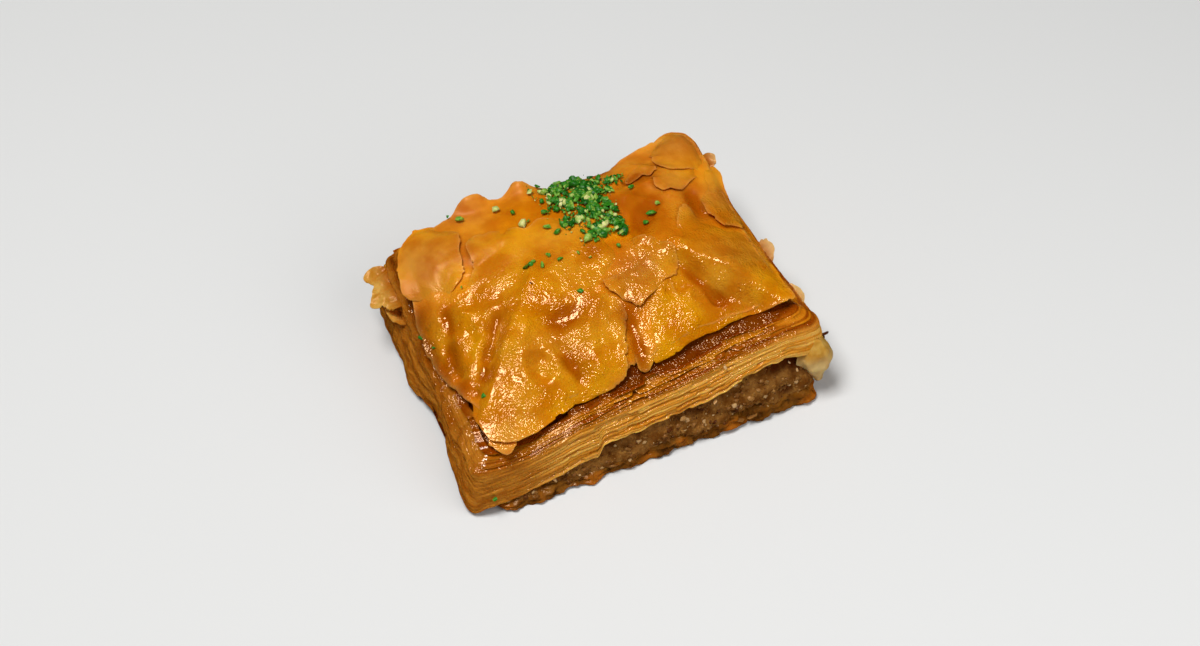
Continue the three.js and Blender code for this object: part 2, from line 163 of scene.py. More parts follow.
class Shade:
    """A node output of a material. Arithmetic on it adds Math nodes."""

    def __init__(self, tree, output=None):
        self.tree, self.output = tree, output

    def node(self, kind, settings=(), inputs=(), out=0):
        """Adds a node: its settings first, then the values or links of its inputs."""
        made = self.tree.nodes.new(kind)
        for name, value in dict(settings).items():
            if name == "stops":
                ramp = made.color_ramp
                while len(ramp.elements) < len(value):
                    ramp.elements.new(0.5)
                for element, (position, code) in zip(ramp.elements, value):
                    element.position, element.color = position, colour(code)
            else:
                setattr(made, name, value)
        for name, value in dict(inputs).items():
            if isinstance(value, Shade):
                self.tree.links.new(value.output, made.inputs[name])
            else:
                made.inputs[name].default_value = value
        return Shade(self.tree, made.outputs[out])

    def maths(self, operation, a, b):
        return self.node("ShaderNodeMath", {"operation": operation}, {0: a, 1: b})

    def __add__(self, other):
        return self.maths("ADD", self, other)

    def __sub__(self, other):
        return self.maths("SUBTRACT", self, other)

    def __rsub__(self, other):
        return self.maths("SUBTRACT", other, self)

    def __mul__(self, other):
        return self.maths("MULTIPLY", self, other)

    __radd__, __rmul__ = __add__, __mul__

    def between(self, low, high):
        """0 up to low, 1 from high on, and smooth in between."""
        limits = {"Value": self, "From Min": low, "From Max": high}
        return self.node("ShaderNodeMapRange", {"interpolation_type": "SMOOTHSTEP"}, limits)

    def blend(self, first, second):
        """The first colour where this is 0 and the second where it is 1. Either can be a code."""
        first, second = (colour(c) if isinstance(c, str) else c for c in (first, second))
        settings = {"data_type": "RGBA", "blend_type": "MIX"}
        return self.node("ShaderNodeMix", settings, {"Factor": self, 6: first, 7: second}, out=2)

    def stored(self, name):
        """The number that the mesh carries for each vertex under this name."""
        return self.node("ShaderNodeAttribute", {"attribute_name": name}, out=2)

    def speckle(self, size, detail, roughness=0.5, stretch=(1, 1, 1)):
        """Noise from 0 to 1 whose lumps are size millimetres wide."""
        place = self.node("ShaderNodeTexCoord", out=3)
        grid = {"Vector": place, "Scale": tuple(1 / (size * MM * s) for s in stretch)}
        place = self.node("ShaderNodeMapping", {}, grid)
        inputs = {"Vector": place, "Scale": 1.0, "Detail": detail, "Roughness": roughness}
        return self.node("ShaderNodeTexNoise", {}, inputs)

    def ramp(self, *stops):
        """The colour at this number on a scale of stops, each a position and a colour's code."""
        return self.node("ShaderNodeValToRGB", {"stops": stops}, {"Fac": self})

    def relief(self, size):
        """A bumped normal: this, from 0 to 1, raises the surface by up to size millimetres."""
        return self.node("ShaderNodeBump", {}, {"Height": self, "Distance": size * MM})


def finish(name, paint, satin=None, glow=None, **constants):
    """A food material. paint adds what changes over the surface and returns its sockets. satin has
    settings of a drier finish, which takes over where the share that paint returns as Satin is 1.
    glow is the light that passes inside: its share, how far red, green and blue go, and its depth
    in millimetres."""
    if glow:
        for part, value in zip(["Weight", "Radius", "Scale"], [*glow[:2], glow[2] * MM]):
            constants["Subsurface_" + part] = value
    material = bpy.data.materials.new(name)
    material.use_nodes = True
    tree = material.node_tree
    shaders = [next(n for n in tree.nodes if n.type == "BSDF_PRINCIPLED")]
    sockets = paint(Shade(tree))
    if satin:
        shaders.append(tree.nodes.new("ShaderNodeBsdfPrincipled"))
        both = tree.nodes.new("ShaderNodeMixShader")
        surface = next(n for n in tree.nodes if n.type == "OUTPUT_MATERIAL").inputs["Surface"]
        tree.links.new(sockets.pop("Satin").output, both.inputs[0])
        for place, shader in enumerate(shaders, 1):
            tree.links.new(shader.outputs[0], both.inputs[place])
        tree.links.new(both.outputs[0], surface)
    for shader, settings in zip(shaders, [constants, {**constants, **(satin or {})}]):
        for socket, value in settings.items():
            shader.inputs[socket.replace("_", " ")].default_value = value
        for socket, value in sockets.items():
            tree.links.new(value.output, shader.inputs[socket])
    return material


SYRUP_GLINT = colour("ffd2a4")


def paint_base(start):
    soaked = start.speckle(3.2, 3).between(0.35, 0.7)
    burnt = start.speckle(1.5, 4, 0.6).between(0.5, 0.68)
    body = soaked.blend("70400c", "8a5618")
    body = (start.stored("glow") * 0.65).blend(body, "b4620e")
    body = (burnt * 0.8).blend(body, "341402")
    return {
        "Base Color": body,
        "Roughness": start.speckle(1.0, 2) * 0.3 + 0.1,
        "Normal": start.speckle(0.5, 3).relief(0.1),
    }


base_material = finish(
    "caramelised_base", paint_base, glow=(0.25, (1.0, 0.35, 0.1), 1.5),
    Specular_IOR_Level=0.5, Specular_Tint=SYRUP_GLINT,
)

BASE_FOOT = footprint((-2, 1.5), (-2, 1), (-1, -0.6), (-1.8, -1.4))
BASE_RIM = footprint((-2, 0.6), (-1.4, 0.4), (-0.2, -0.2), (-1.8, -1.6))
BASE_RINGS = 18
BASE_GAPS = 2  # gaps between its leaves that show as grooves


def fullness(x, y):
    """1 where the filling has its full height, 0 where the knife pressed the corner flat."""
    return smooth(np.hypot(x + LENGTH / 2, (y + WIDTH / 2) * 0.8), 6, 24)


def base_top(x, y):
    """How high the base leaves reach."""
    level = mix(1.5, 2.2 + 0.02 * x, fullness(x, y))
    return level + ripples(x, y, (0.5, 7, 80), (0.2, 2.5, 85))


def base_leaves():
    rings, glow = [ring(edge_line(BASE_FOOT * 0.88), height=0.0)], [np.zeros(AROUND)]
    for t in np.linspace(0, 1, BASE_RINGS):
        corners = mix(BASE_FOOT, BASE_RIM, t)
        x, y = edge_line(corners).T
        waves = (0.8, 3.2, 40 + 1.5 * t), (0.6, 1.5, 20 + 3 * t), (0.2, 0.6, 25 + 3 * t)
        gap = 0.12 * math.cos(math.tau * BASE_GAPS * t)
        out = ripples(x, y, *waves) - gap - 0.35 * (2 * t - 1) ** 4
        lifted = 0.45 * smooth(lumps(x, y, 5, 7), 0, 0.4) * (1 - t)
        rings.append(ring(edge_line(corners, out), mix(lifted, base_top(x, y), t)))
        glow.append(smooth(lumps(x, y, 90 + 2 * t, 3.5), 0.1, 0.4) * math.sin(math.pi * t) ** 0.5)
    rings.append(ring(edge_line(BASE_RIM * 0.85), height=1.2))
    glow = loft_shade([*glow, np.zeros(AROUND)])
    return piece("caramelised_base", *loft(rings), base_material, "caramelised_pastry", glow=glow)


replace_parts(base_leaves(), "base_leaves")

# ----------------------------------------
# Walnut filling. Ground walnut, sugar and syrup pressed into a wet brown paste, with pieces of nut
# that stand out of the cut face. It lies on the base leaves, thins out at the front left, where the
# stack was pressed down by the knife, and rises to the front right.

FILLING_FOOT = footprint((-2.2, 0.2), (-1.9, 0.3), (-0.8, -0.8), (-2, -1.9))
FILLING_RIM = footprint((-2.4, -1.2), (-1, -1.9), (-1.6, -0.9), (-2.2, -2.1))
FILLING_RINGS = 18
# Ledges and caves of the front face: x, z, how far along x and z, and how far out.
FILLING_SWELLS = [
    (21.5, 8.3, 3, 1.1, -1.8), (18, 5.6, 6, 0.9, 0.35), (25, 4.2, 2, 0.8, 0.3),
    (-8, 5.4, 1, 0.9, -1.2), (-1, 4.4, 4, 1.2, 0.4), (6, 5.6, 2, 1, -0.6),
    (-14.3, 4.2, 0.9, 0.7, -1), (-18.8, 1.6, 0.9, 0.6, -0.8), (-11.7, 2.9, 1.2, 0.8, 0.5),
    (11, 7.4, 1.5, 0.7, -0.7),
]


def filling_top(x, y):
    """How high the filling reaches."""
    rise = 3.4 * smooth(x, 4, 19) * smooth(-y, 2, 20)
    return mix(2.8, 6.8 + rise, fullness(x, y)) + 0.3 * lumps(x, y, 30, 14)


def paint_filling(start):
    wet = start.speckle(1.8, 3).between(0.35, 0.65)
    skin = start.speckle(0.6, 3, 0.6).between(0.56, 0.66)
    # Dark spots of painted shade, as in tiny pits of the paste.
    pit_shade = start.speckle(1.1, 4, 0.65).between(0.4, 0.28)
    body = wet.blend("6e3e10", "94622a")
    body = (skin * 0.5).blend(body, "b4803a")
    body = (pit_shade * 0.85).blend(body, "481802")
    # Painted shade where the cut face lies further in.
    body = start.stored("cave").blend(body, "501a02")
    return {
        "Base Color": body,
        "Roughness": start.speckle(0.8, 2) * 0.2 + 0.08,
        "Normal": start.speckle(0.5, 2).relief(0.2),
    }


filling_material = finish(
    "walnut_paste", paint_filling, glow=(0.2, (1.0, 0.6, 0.35), 1.0),
    Specular_IOR_Level=0.7, Specular_Tint=SYRUP_GLINT,
)


def filling_wall(t):
    """The cut face of the filling at a share t of its height: its line, heights, and swellings."""
    corners = mix(FILLING_FOOT, FILLING_RIM, t)
    x, y = edge_line(corners).T
    height = mix(base_top(x, y) - 0.8, filling_top(x, y) - 0.1, t)
    out = ripples(x, y, (0.9, 3.2, 60 + height), (0.4, 1.3, 10 + height))
    for at, z, wide, tall, amount in FILLING_SWELLS:
        swell = amount * mound((x - at) / wide, (height - z) / tall)
        out = out + swell * smooth(-AROUND_V, 0.9, 1)
    return edge_line(corners, out + 0.45 - 0.5 * (2 * t - 1) ** 4), height, out


def walnut_paste():
    walls = [filling_wall(t) for t in np.linspace(0, 1, FILLING_RINGS)]
    rings = [
        ring(edge_line(FILLING_FOOT * 0.85), height=1.4),
        *[ring(line, height) for line, height, _ in walls],
        ring(edge_line(FILLING_RIM * 0.8), height=5.5),
    ]
    # Painted shade in the caves, where the cut face is pressed in.
    cave = [0.9 * smooth(-out, 0.15, 0.9) for _, _, out in walls]
    cave = loft_shade([np.zeros(AROUND), *cave, np.zeros(AROUND)])
    return piece("walnut_paste", *loft(rings), filling_material, "walnut_filling", cave=cave)


CHIP_CORNERS = 16
FULL_TURN = 6.3  # radians


def chip(middle, size, draw, flatness=0.75):
    """One broken piece of nut: a rough, many-sided lump, as points and triangles."""
    squash = Vector((1.0, draw.uniform(0.6, 0.95), flatness * draw.uniform(0.6, 1.0)))
    turn = Vector((draw.uniform(-1, 1), draw.uniform(-1, 1), 1)).to_track_quat("Z", "Y")
    sideways = math.cos(draw.uniform(0, FULL_TURN)), math.sin(draw.uniform(0, FULL_TURN))
    turn.rotate(Vector((*sideways, 0)).to_track_quat("X", "Z"))
    hull = bmesh.new()
    for _ in range(CHIP_CORNERS):
        way = Vector((draw.gauss(0, 1), draw.gauss(0, 1), draw.gauss(0, 1))).normalized()
        hull.verts.new(turn @ (way * squash * size * draw.uniform(0.82, 1.1)))
    made = bmesh.ops.convex_hull(hull, input=hull.verts)
    unused = made["geom_interior"] + made["geom_unused"]
    loose = {v for v in unused if isinstance(v, bmesh.types.BMVert)}
    bmesh.ops.delete(hull, geom=list(loose), context="VERTS")
    hull.verts.index_update()
    points = np.array([v.co[:] for v in hull.verts]) + np.asarray(middle)
    faces = [tuple(v.index for v in f.verts) for f in hull.faces]
    hull.free()
    return points, faces


def many(name, parts, material, slot):
    """One piece of many small closed ones, each with its own tone."""
    points, faces, tones = [], [], []
    for (part_points, part_faces), tone in parts:
        points.append(part_points)
        faces += [tuple(i + len(tones) for i in face) for face in part_faces]
        tones += [tone] * len(part_points)
    return piece(name, np.concatenate(points), faces, material, slot, tone=tones)


def paint_walnut(start):
    tones = (0.0, "4c1e06"), (0.35, "7c4c20"), (0.7, "a07038"), (1.0, "d8b07c")
    body = start.stored("tone").ramp(*tones)
    skin = start.speckle(0.3, 3).between(0.55, 0.7)
    body = (skin * 0.4).blend(body, "54290c")
    return {"Base Color": body, "Normal": start.speckle(0.25, 3).relief(0.05)}


walnut_material = finish(
    "walnut_pieces", paint_walnut, glow=(0.2, (1.0, 0.7, 0.4), 0.8),
    Roughness=0.3, Specular_Tint=SYRUP_GLINT,
)

# Larger pieces on their own: x, y, z, size, and tone from burnt to white. Three burnt ones sit on
# the right edge and a white one on the front of the stack.
SINGLE_PIECES = [
    (28.1, -15.7, 10.2, 0.5, 0), (29, -18.3, 9.5, 0.85, 0), (28.5, -19, 9.9, 0.4, 0),
    (11.3, -20.4, 12.7, 0.4, 1), (-10.7, -0.3, 20.7, 0.3, 0), (4.1, -21.8, 5.9, 0.6, 0.75),
    (13.1, -22, 4.4, 0.4, 1), (19, -21.9, 4.3, 0.5, 1), (-16.6, -22, 2.6, 0.7, 0.95),
    (15.3, -22.6, 1.6, 1, 0.6), (13.2, -22.4, 1.5, 0.9, 0.5), (9.3, -21.6, 7, 0.55, 0.8),
    (-7.6, -22.4, 1.5, 0.8, 0.45), (-11.7, -22.3, 2.9, 0.7, 0.5), (23, -21.4, 7.4, 0.4, 0.9),
    (21.8, -21, 9.2, 0.3, 1),
]
# The small ones that cover the cut face.
NUT_BITS = 2100
NUT_TONES = [0.05, 0.2, 0.35, 0.4, 0.5, 0.55, 0.65, 0.9]
SMALLEST_BIT, LARGEST_BIT = 0.15, 0.8


def walnut_pieces():
    draw = random.Random(11)
    rows = [ring(*filling_wall(t)[:2]) for t in np.linspace(0.06, 0.94, 12)]
    parts = [(chip(place, size, draw, flatness=0.5), tone) for *place, size, tone in SINGLE_PIECES]
    for _ in range(NUT_BITS):
        spot = draw.choice(rows)[draw.randrange(AROUND)]
        size = mix(SMALLEST_BIT, LARGEST_BIT, draw.random() ** 2.4)
        inwards = -0.35 * size * spot / np.linalg.norm(spot[:2])
        tone = draw.choice(NUT_TONES) + draw.uniform(-0.06, 0.06)
        parts.append((chip(spot + inwards * [1, 1, 0], size, draw), tone))
    return many("walnut_pieces", parts, walnut_material, "walnut_filling")


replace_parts(walnut_paste(), "nut_filling")
walnut_pieces()

# ----------------------------------------
# Stacked leaves. About twenty sheets of phyllo, brushed with butter and cut through with the piece.
# The lower ones stayed pale and show as fine lines at the cut, the upper ones are swollen and amber
# with syrup. On the left the knife dragged them down, so they hang over the filling in long folds.

# The height of the puffed leaf at its front left, front right, back right and back left corner.
LEAF_CORNERS = 11.6, 14.6, 18.9, 16.9
LEAF_LENGTH = 49.4
LEAF_WIDTH = 36.4
LEAF_SHIFT = 0.8
LEAF_RISE = 4.8

# The creases of the puffed top: from x, y, to x, y, height, and how wide they fall off to the left
# and to the right.
FOLDS = [
    (-10.5, 0.5, -17.5, -7.2, 1.2, 3.2, 1.3), (-17.5, -7.2, -24.2, -14.7, 1.1, 2.6, 1.3),
    (-16.9, -2, -19.7, -5.9, -1.1, 1.2, 1.2), (-19.7, -5.9, -23.3, -10.4, -1.1, 1.1, 1.2),
    (-11, -5.6, -6.5, -7.3, -0.8, 1.9, 1.9), (-1.2, -4.5, -5.5, -9.1, 0.6, 1.2, 1.8),
    (-5.5, -9.1, -6.1, -15.3, 0.7, 1, 1.5), (-10.3, -10.6, -9.4, -14.6, -0.7, 1.3, 1),
    (-19.2, -14, -16.5, -16.5, 0.5, 1.8, 1.8), (-20.5, 4.2, -24.4, 4, 0.6, 0.8, 0.9),
    (-20.8, 1.9, -20.7, -0.7, 0.6, 0.9, 0.9), (-19, -3.2, -21.3, -4.6, 0.5, 0.9, 0.9),
    (-22.9, 3, -23.1, 0.5, -0.9, 1, 1), (-24.4, -1.4, -24.2, -6, -0.7, 0.8, 0.9),
    (-22.6, -9.6, -25.6, -7.4, 0.5, 0.6, 0.8), (11.5, -2.6, 17.6, -8.5, 1.5, 4.5, 1.7),
    (17.6, -8.5, 24.2, -15.6, 1.4, 4, 1.7), (11, -4.4, 14.6, -10.8, -1.3, 1.2, 1.4),
    (14.6, -10.8, 19.6, -14, -0.8, 1.2, 1.5), (8.6, -9.8, 9.8, -13.5, 0.5, 1.1, 1.6),
    (0.6, -10.5, 0.2, -17, -0.9, 1.1, 1.1), (8.5, 4, 13, 7.5, -1, 2.6, 2.6),
    (-16, 7.6, -11.5, 8.6, -0.35, 0.8, 0.8), (-15.5, 10, -9.5, 10, 0.3, 1.5, 1.5),
    (1, 19.5, 9, 19.5, -0.9, 2.6, 2.6), (9, 9.8, 13.6, 8.2, 0.35, 0.6, 0.7),
    (12.4, 5.2, 15.8, 8.4, 0.4, 0.5, 0.6), (6.3, 2.6, 8.2, 6.8, 0.3, 0.6, 0.6),
    (13, 16.8, 17.2, 12.8, 0.35, 0.5, 0.6), (9, 12.3, 12.8, 14.6, -0.4, 0.6, 0.6),
    (19, 7.4, 18.5, 3.4, -0.8, 1.4, 1.1), (14.8, 14.3, 10.8, 13.1, -0.35, 1.1, 1.1),
]
DIMPLE = (-14.2, -11.7)
# Its rounder swellings: x, y, how far they reach, height.
BUMPS = [
    (-13, 20.6, 1.5, 1.4), (-11, 20.6, 1.5, 1.4), (-4.1, 20.2, 1.9, 1.7), (-22, 13, 4.5, 0.9),
    (21.5, 17.5, 3.2, 1.1),
]
# Where the leaf is crumpled like foil: x, y, how far along x and y, and how strongly.
CRUMPLED = [
    (-20.5, -1, 5, 8, 1), (-11, -11, 6, 5, 0.5), (9, -9.5, 3.5, 3.5, 0.8), (12.5, 12, 6, 4, 0.7),
    (5, -5, 6, 6, 0.35),
]


def creases(x, y):
    """How far the creases raise the leaf: sharp crests, and rounded hollows between them."""
    away = np.hypot(x - DIMPLE[0], y - DIMPLE[1])
    total = 0.4 * mound((away - 2.6) / 0.8) - 0.8 * mound(away / 1.5)
    for bx, by, reach, height in BUMPS:
        total = total + height * mound((x - bx) / reach, (y - by) / reach)
    for ax, ay, bx, by, height, left_width, right_width in FOLDS:
        run = math.hypot(bx - ax, by - ay)
        forward = ((x - ax) * (bx - ax) + (y - ay) * (by - ay)) / run
        sideways = ((y - ay) * (bx - ax) - (x - ax) * (by - ay)) / run
        past = (forward - np.clip(forward, 0, run)) / (0.5 * (left_width + right_width))
        away = np.hypot(sideways / mix(right_width, left_width, smooth(sideways, -0.3, 0.3)), past)
        total = total + height * (np.exp(0.3 - np.hypot(away, 0.3)) if height > 0 else mound(away))
    return total


def sagging(y):
    """1 along the middle of the left side, where the knife dragged the leaves down."""
    return smooth(y, -12, -7) * smooth(-y, -11, -5)


def leaf_height(x, y):
    """The top of the puffed leaf, under its loose flakes."""
    u = np.clip(2 * x / LEAF_LENGTH, -1.1, 1.1)
    v = np.clip(2 * (y - LEAF_SHIFT) / LEAF_WIDTH, -1.1, 1.1)
    front_left, front_right, back_right, back_left = LEAF_CORNERS
    front = mix(front_left, front_right, (u + 1) / 2)
    back = mix(back_left, back_right, (u + 1) / 2)
    puff = np.maximum(0, 1 - np.abs(u) ** 2.6) * np.maximum(0, 1 - np.abs(v) ** 2.2)
    large, fine, finest = (
        np.abs(lumps(x, y, place, size)) for place, size in [(71, 4), (72, 2.1), (73, 1.1)]
    )
    foil = 0.3 - 1.2 * large - 0.5 * fine + 0.1 * finest
    crumpled = 0.15 + sum(
        size * mound((x - cx) / wide, (y - cy) / deep) for cx, cy, wide, deep, size in CRUMPLED
    )
    top = mix(front, back, (v + 1) / 2) + LEAF_RISE * puff + creases(x, y) + crumpled * foil
    draped = 2.4 * smooth(-x, 23.2, 27.4) * sagging(y)
    return top + ripples(x, y, (0.3, 5, 0), (0.05, 1.9, 9)) - draped


STACK_UNDER = footprint((-0.8, -1.2), (-0.4, -2.2), (-1.6, -1.7), (-0.8, -0.9))
STACK_LIP = footprint((0.1, -0.5), (0.3, -1.4), (-1, -0.9), (0.1, -0.2))
STACK_LOW = footprint((1.6, 0.8), (0.8, -0.8), (-0.7, -0.3), (0.8, 0.4))
STACK_MIDDLE = footprint((0.4, -0.5), (0.2, -2.3), (-1.7, -1.1), (-1.4, -0.6))
STACK_HIGH = footprint((-1.4, -1.7), (-2.4, -5), (-3, -2.5), (-3, -2.6))
STACK_THROAT = footprint((-4.6, -5), (-5.2, -8.6), (-5.4, -4.4), (-5, -5))

# Places along the front cut, and how high its bands reach there: the torn fringe at the foot of the
# pale leaves, the waist where the amber leaves begin, and the shoulder under the puffed leaf.
FRINGE = [
    (-28, 0.8), (-26, 2), (-20, 2.2), (-16, 3), (-12, 4), (-9, 4.2), (-8.2, 6.6), (8, 7.4),
    (17, 10.4), (22, 10.5), (28, 8.4),
]
WAIST = [
    (-28, 8.4), (-20, 8.2), (-16, 9), (-12, 10.3), (-4, 10.8), (4, 11.3), (12, 12.8), (22, 13.8),
    (28, 13),
]
SHOULDER = [
    (-28, 9.9), (-20, 9.6), (-16, 11), (-12, 12.2), (-4, 12.9), (8, 13.6), (16, 14.6), (22, 15.3),
    (28, 15),
]
PALE_LEAVES = 12
AMBER_LEAVES = 9
# How each kind of leaf was cut: how wavy it is, how far a tear sets it back, how deep the groove
# under it is, and how much of that groove reaches up to its second ring.
PALE_CUT = 0.6, 0.25, 0.25, 0.12
AMBER_CUT = 1.3, 0.8, 0.7, 0.5
# Where the side under the left rim stands out or is pressed in: y, z, how far along both, how much.
SIDE_SWELLS = [
    (-20, 2, 4, 4, 0.5), (-5, 2.5, 4.5, 4, -1.2), (5, 2.5, 2.6, 3, 0.8), (12, 3, 5, 3, 0.3),
]
# Its long folds: at what share of its height, how wide, and how far out.
SIDE_FOLDS = [(0.97, 0.07, 0.55), (0.74, 0.09, 0.4), (0.45, 0.12, 0.3), (0.16, 0.1, 0.2)]
# The glint of syrup: how fine its grain is, and how deep.
SYRUP_GRAIN = 0.27
SYRUP_RELIEF = 0.18


def paint_stack(start):
    soak, crevice, tone = start.stored("soak"), start.stored("crevice"), start.stored("tone")
    streak = start.speckle(1.2, 4, 0.6, stretch=(3.0, 3.0, 0.3))
    pale = (tone * 0.6 + streak * 0.5).between(0.2, 0.9).blend("da8a20", "f4bc58")
    amber = (tone * 0.5 + streak * 0.5).between(0.25, 0.8).blend("903800", "de8612")
    body = soak.blend(pale, amber)
    # Painted shade in grooves and hidden places: paler between pale leaves, red-brown between amber
    # ones.
    deep = soak.blend("c47818", "5c2000")
    body = (crevice * 0.85).blend(body, deep)
    smeared = start.stored("smeared")
    honey = start.speckle(1.8, 3, stretch=(2, 2.5, 0.6)).between(0.3, 0.7)
    honey = honey.blend("9a5006", "c88024")
    body = (smeared * (1 - crevice) * 0.85).blend(body, honey)
    grain = start.speckle(2.0, 2).between(0.35, 0.62) * 0.7 + 0.3
    syrup = start.speckle(SYRUP_GRAIN, 0) * grain
    syrup = syrup + start.speckle(0.9, 1) * (smeared * 1.2 + 0.6)
    bead = start.stored("bead")
    return {
        "Base Color": body,
        "Roughness": start.speckle(0.7, 2) * 0.15 + 0.06,
        "Coat Weight": bead * 0.9 + smeared * 0.14,
        "Normal": (syrup * (1 - bead * 0.85)).relief(SYRUP_RELIEF),
    }


stack_material = finish(
    "syruped_leaves", paint_stack, glow=(0.3, (1.0, 0.4, 0.08), 0.8),
    Specular_IOR_Level=0.8, Specular_Tint=SYRUP_GLINT, Coat_Roughness=0.12, Coat_IOR=1.6,
)


def dragged_side(x, y, height, up):
    """The left side at a share up of its height: how far out it is, and how hidden from light."""
    up = up + 0.16 * lumps(y, 0, 70, 13) + 0.08 * lumps(y, height, 75, 4)
    folds = sum(size * mound((up - at) / wide) for at, wide, size in SIDE_FOLDS)
    swells = sum(
        size * mound((y - at) / wide, (height - z) / tall)
        for at, z, wide, tall, size in SIDE_SWELLS
    )
    rough = ripples(x, y, (0.4, 5, 100 + 0.7 * height), (0.25, 1.6, 120 + height))
    under_rim = 0.8 * mound((up - 0.86) / 0.12) * smooth(y, -8, 2)
    return folds - 0.25 + swells + rough, 0.35 * smooth(0.25 - folds, 0.1, 0.25) + under_rim


def stacked_leaves():
    """The stack, ring by ring from its foot up. left, front and syruped are where the leaves were
    dragged down, cut clean and soaked, and plain is where they lie apart."""
    draw = random.Random(5)
    x, y = edge_line(STACK_MIDDLE).T
    left = smooth(-AROUND_U, 0.95, 0.995)
    front = smooth(-AROUND_V, 0.8, 0.95)
    syruped = front * smooth(-x, 12, 23)
    plain = (1 - 0.8 * syruped) * (1 - 0.85 * smooth(x, 15, 25))

    def front_line(bands, elsewhere):
        return mix(elsewhere, np.interp(x, *np.array(bands).T), front)

    high_x, high_y = edge_line(STACK_HIGH).T
    below_leaf = mix(1.9, 2.4, (AROUND_U + 1) / 2)
    shoulder = front_line(SHOULDER, leaf_height(high_x, high_y) - below_leaf)
    shoulder = shoulder + left * (sagging(y) + ripples(0, y, (0.7, 3, 77), (0.4, 1.2, 78)))
    swollen_corner = np.exp(-((high_x + 26.5) ** 2 + (high_y + 20) ** 2) / 6)
    shoulder = shoulder + 0.6 * swollen_corner
    filling = filling_top(x, y)
    waist = front_line(WAIST, mix(filling, shoulder, 0.66))
    teeth = ripples(x, y, (0.45, 1.3, 3), (0.3, 3, 8)) * mix(1, 0.6, front * smooth(-x, 8, 10))
    fringe = np.maximum(front_line(FRINGE, mix(filling, 1.3, left)) + teeth, 0.4)

    def thicknesses(count, seed, unevenness):
        weights = []
        for leaf in range(count):
            wave = ripples(x, y, (1, 16, seed + 13 * leaf), (0.25, 5, seed + 7 * leaf))
            weight = draw.uniform(0.6, 1.4) + unevenness * wave * (1 - left)
            weights.append(np.clip(weight, 0.2, 3))
        bounds = np.cumsum([np.zeros(AROUND), *weights], axis=0)
        return bounds / bounds[-1]

    pale = thicknesses(PALE_LEAVES, seed=300, unevenness=0.5)
    amber = thicknesses(AMBER_LEAVES, seed=500, unevenness=0.9)
    bounds = np.concatenate([mix(fringe, waist, pale), mix(waist, shoulder, amber)[1:]])
    levels = [*np.linspace(0, 1, PALE_LEAVES + 1), *np.linspace(1, 2, AMBER_LEAVES + 1)[1:]]
    rings = [
        ring(edge_line(STACK_UNDER * 0.85), filling - 0.4),
        ring(edge_line(STACK_UNDER), filling - 0.1),
        ring(edge_line(STACK_LIP), fringe + 0.1),
    ]
    none, full = np.zeros(AROUND), np.ones(AROUND)
    # The three rings under the stack lie wholly in painted shade.
    soak, crevice, tone, bead = [full] * 3, [full] * 3, [none] * 3, [none] * 3
    for leaf in range(PALE_LEAVES + AMBER_LEAVES):
        wavy, set_back, grooved, step = AMBER_CUT if leaf >= PALE_LEAVES else PALE_CUT
        seed = 40 * leaf
        out = ripples(x, y, (0.35, 7, seed), (0.15, 2.2, seed + 5), (0.05, 0.7, seed + 9))
        torn = smooth(lumps(x, y, seed + 20, 4.5), 0.15, 0.2)
        out = (out * wavy - torn * set_back) * (0.15 + 0.85 * plain)
        depth = draw.uniform(0.6, 1.3) * grooved * plain
        leaf_tone = np.clip(draw.uniform(0.1, 0.9) + 0.4 * lumps(x, y, seed + 30, 6), 0, 1)
        # Its rings: at what share of its thickness, and how much of the groove reaches there.
        for share, groove in [(0.06, 1.0), (0.28, step), (0.6, 0.0), (0.88, 0.2)]:
            height = mix(bounds[leaf], bounds[leaf + 1], share)
            level = mix(levels[leaf], levels[leaf + 1], share)
            corners = mix(STACK_LOW, STACK_MIDDLE, level)
            if level >= 1:
                corners = mix(STACK_MIDDLE, STACK_HIGH, level - 1)
            side, hidden = dragged_side(x, y, height, (height - fringe) / (shoulder - fringe))
            rounded = 1.8 * smooth(level, 1.4, 2.05) ** 2 * np.maximum(left, syruped)
            reach = mix(out - groove * depth, side - 0.14 * groove * leaf_tone, left) - rounded
            rings.append(ring(edge_line(corners, reach), height))
            above_waist = smooth(height, waist - 0.4, waist + 0.5)
            soaked = np.maximum(above_waist, np.maximum(0.85 * left, 0.6 * syruped))
            soak.append(np.clip(soaked + 0.15 * lumps(x, y, seed, 3), 0, 1))
            # Painted shade: in the grooves and tears of the cut, and on the left side where it is
            # hidden from light.
            cut, pressed = (groove + 0.5 * torn) * plain, hidden + 0.3 * groove * leaf_tone
            crevice.append(np.clip(mix(cut, pressed, left), 0, 1))
            tone.append(mix(leaf_tone, 0.35, left))
            near_corner = np.exp(-((x + 26.5) ** 2 + (y + 21) ** 2) / 8)
            bead.append(near_corner * smooth(level, 1.1, 1.6))
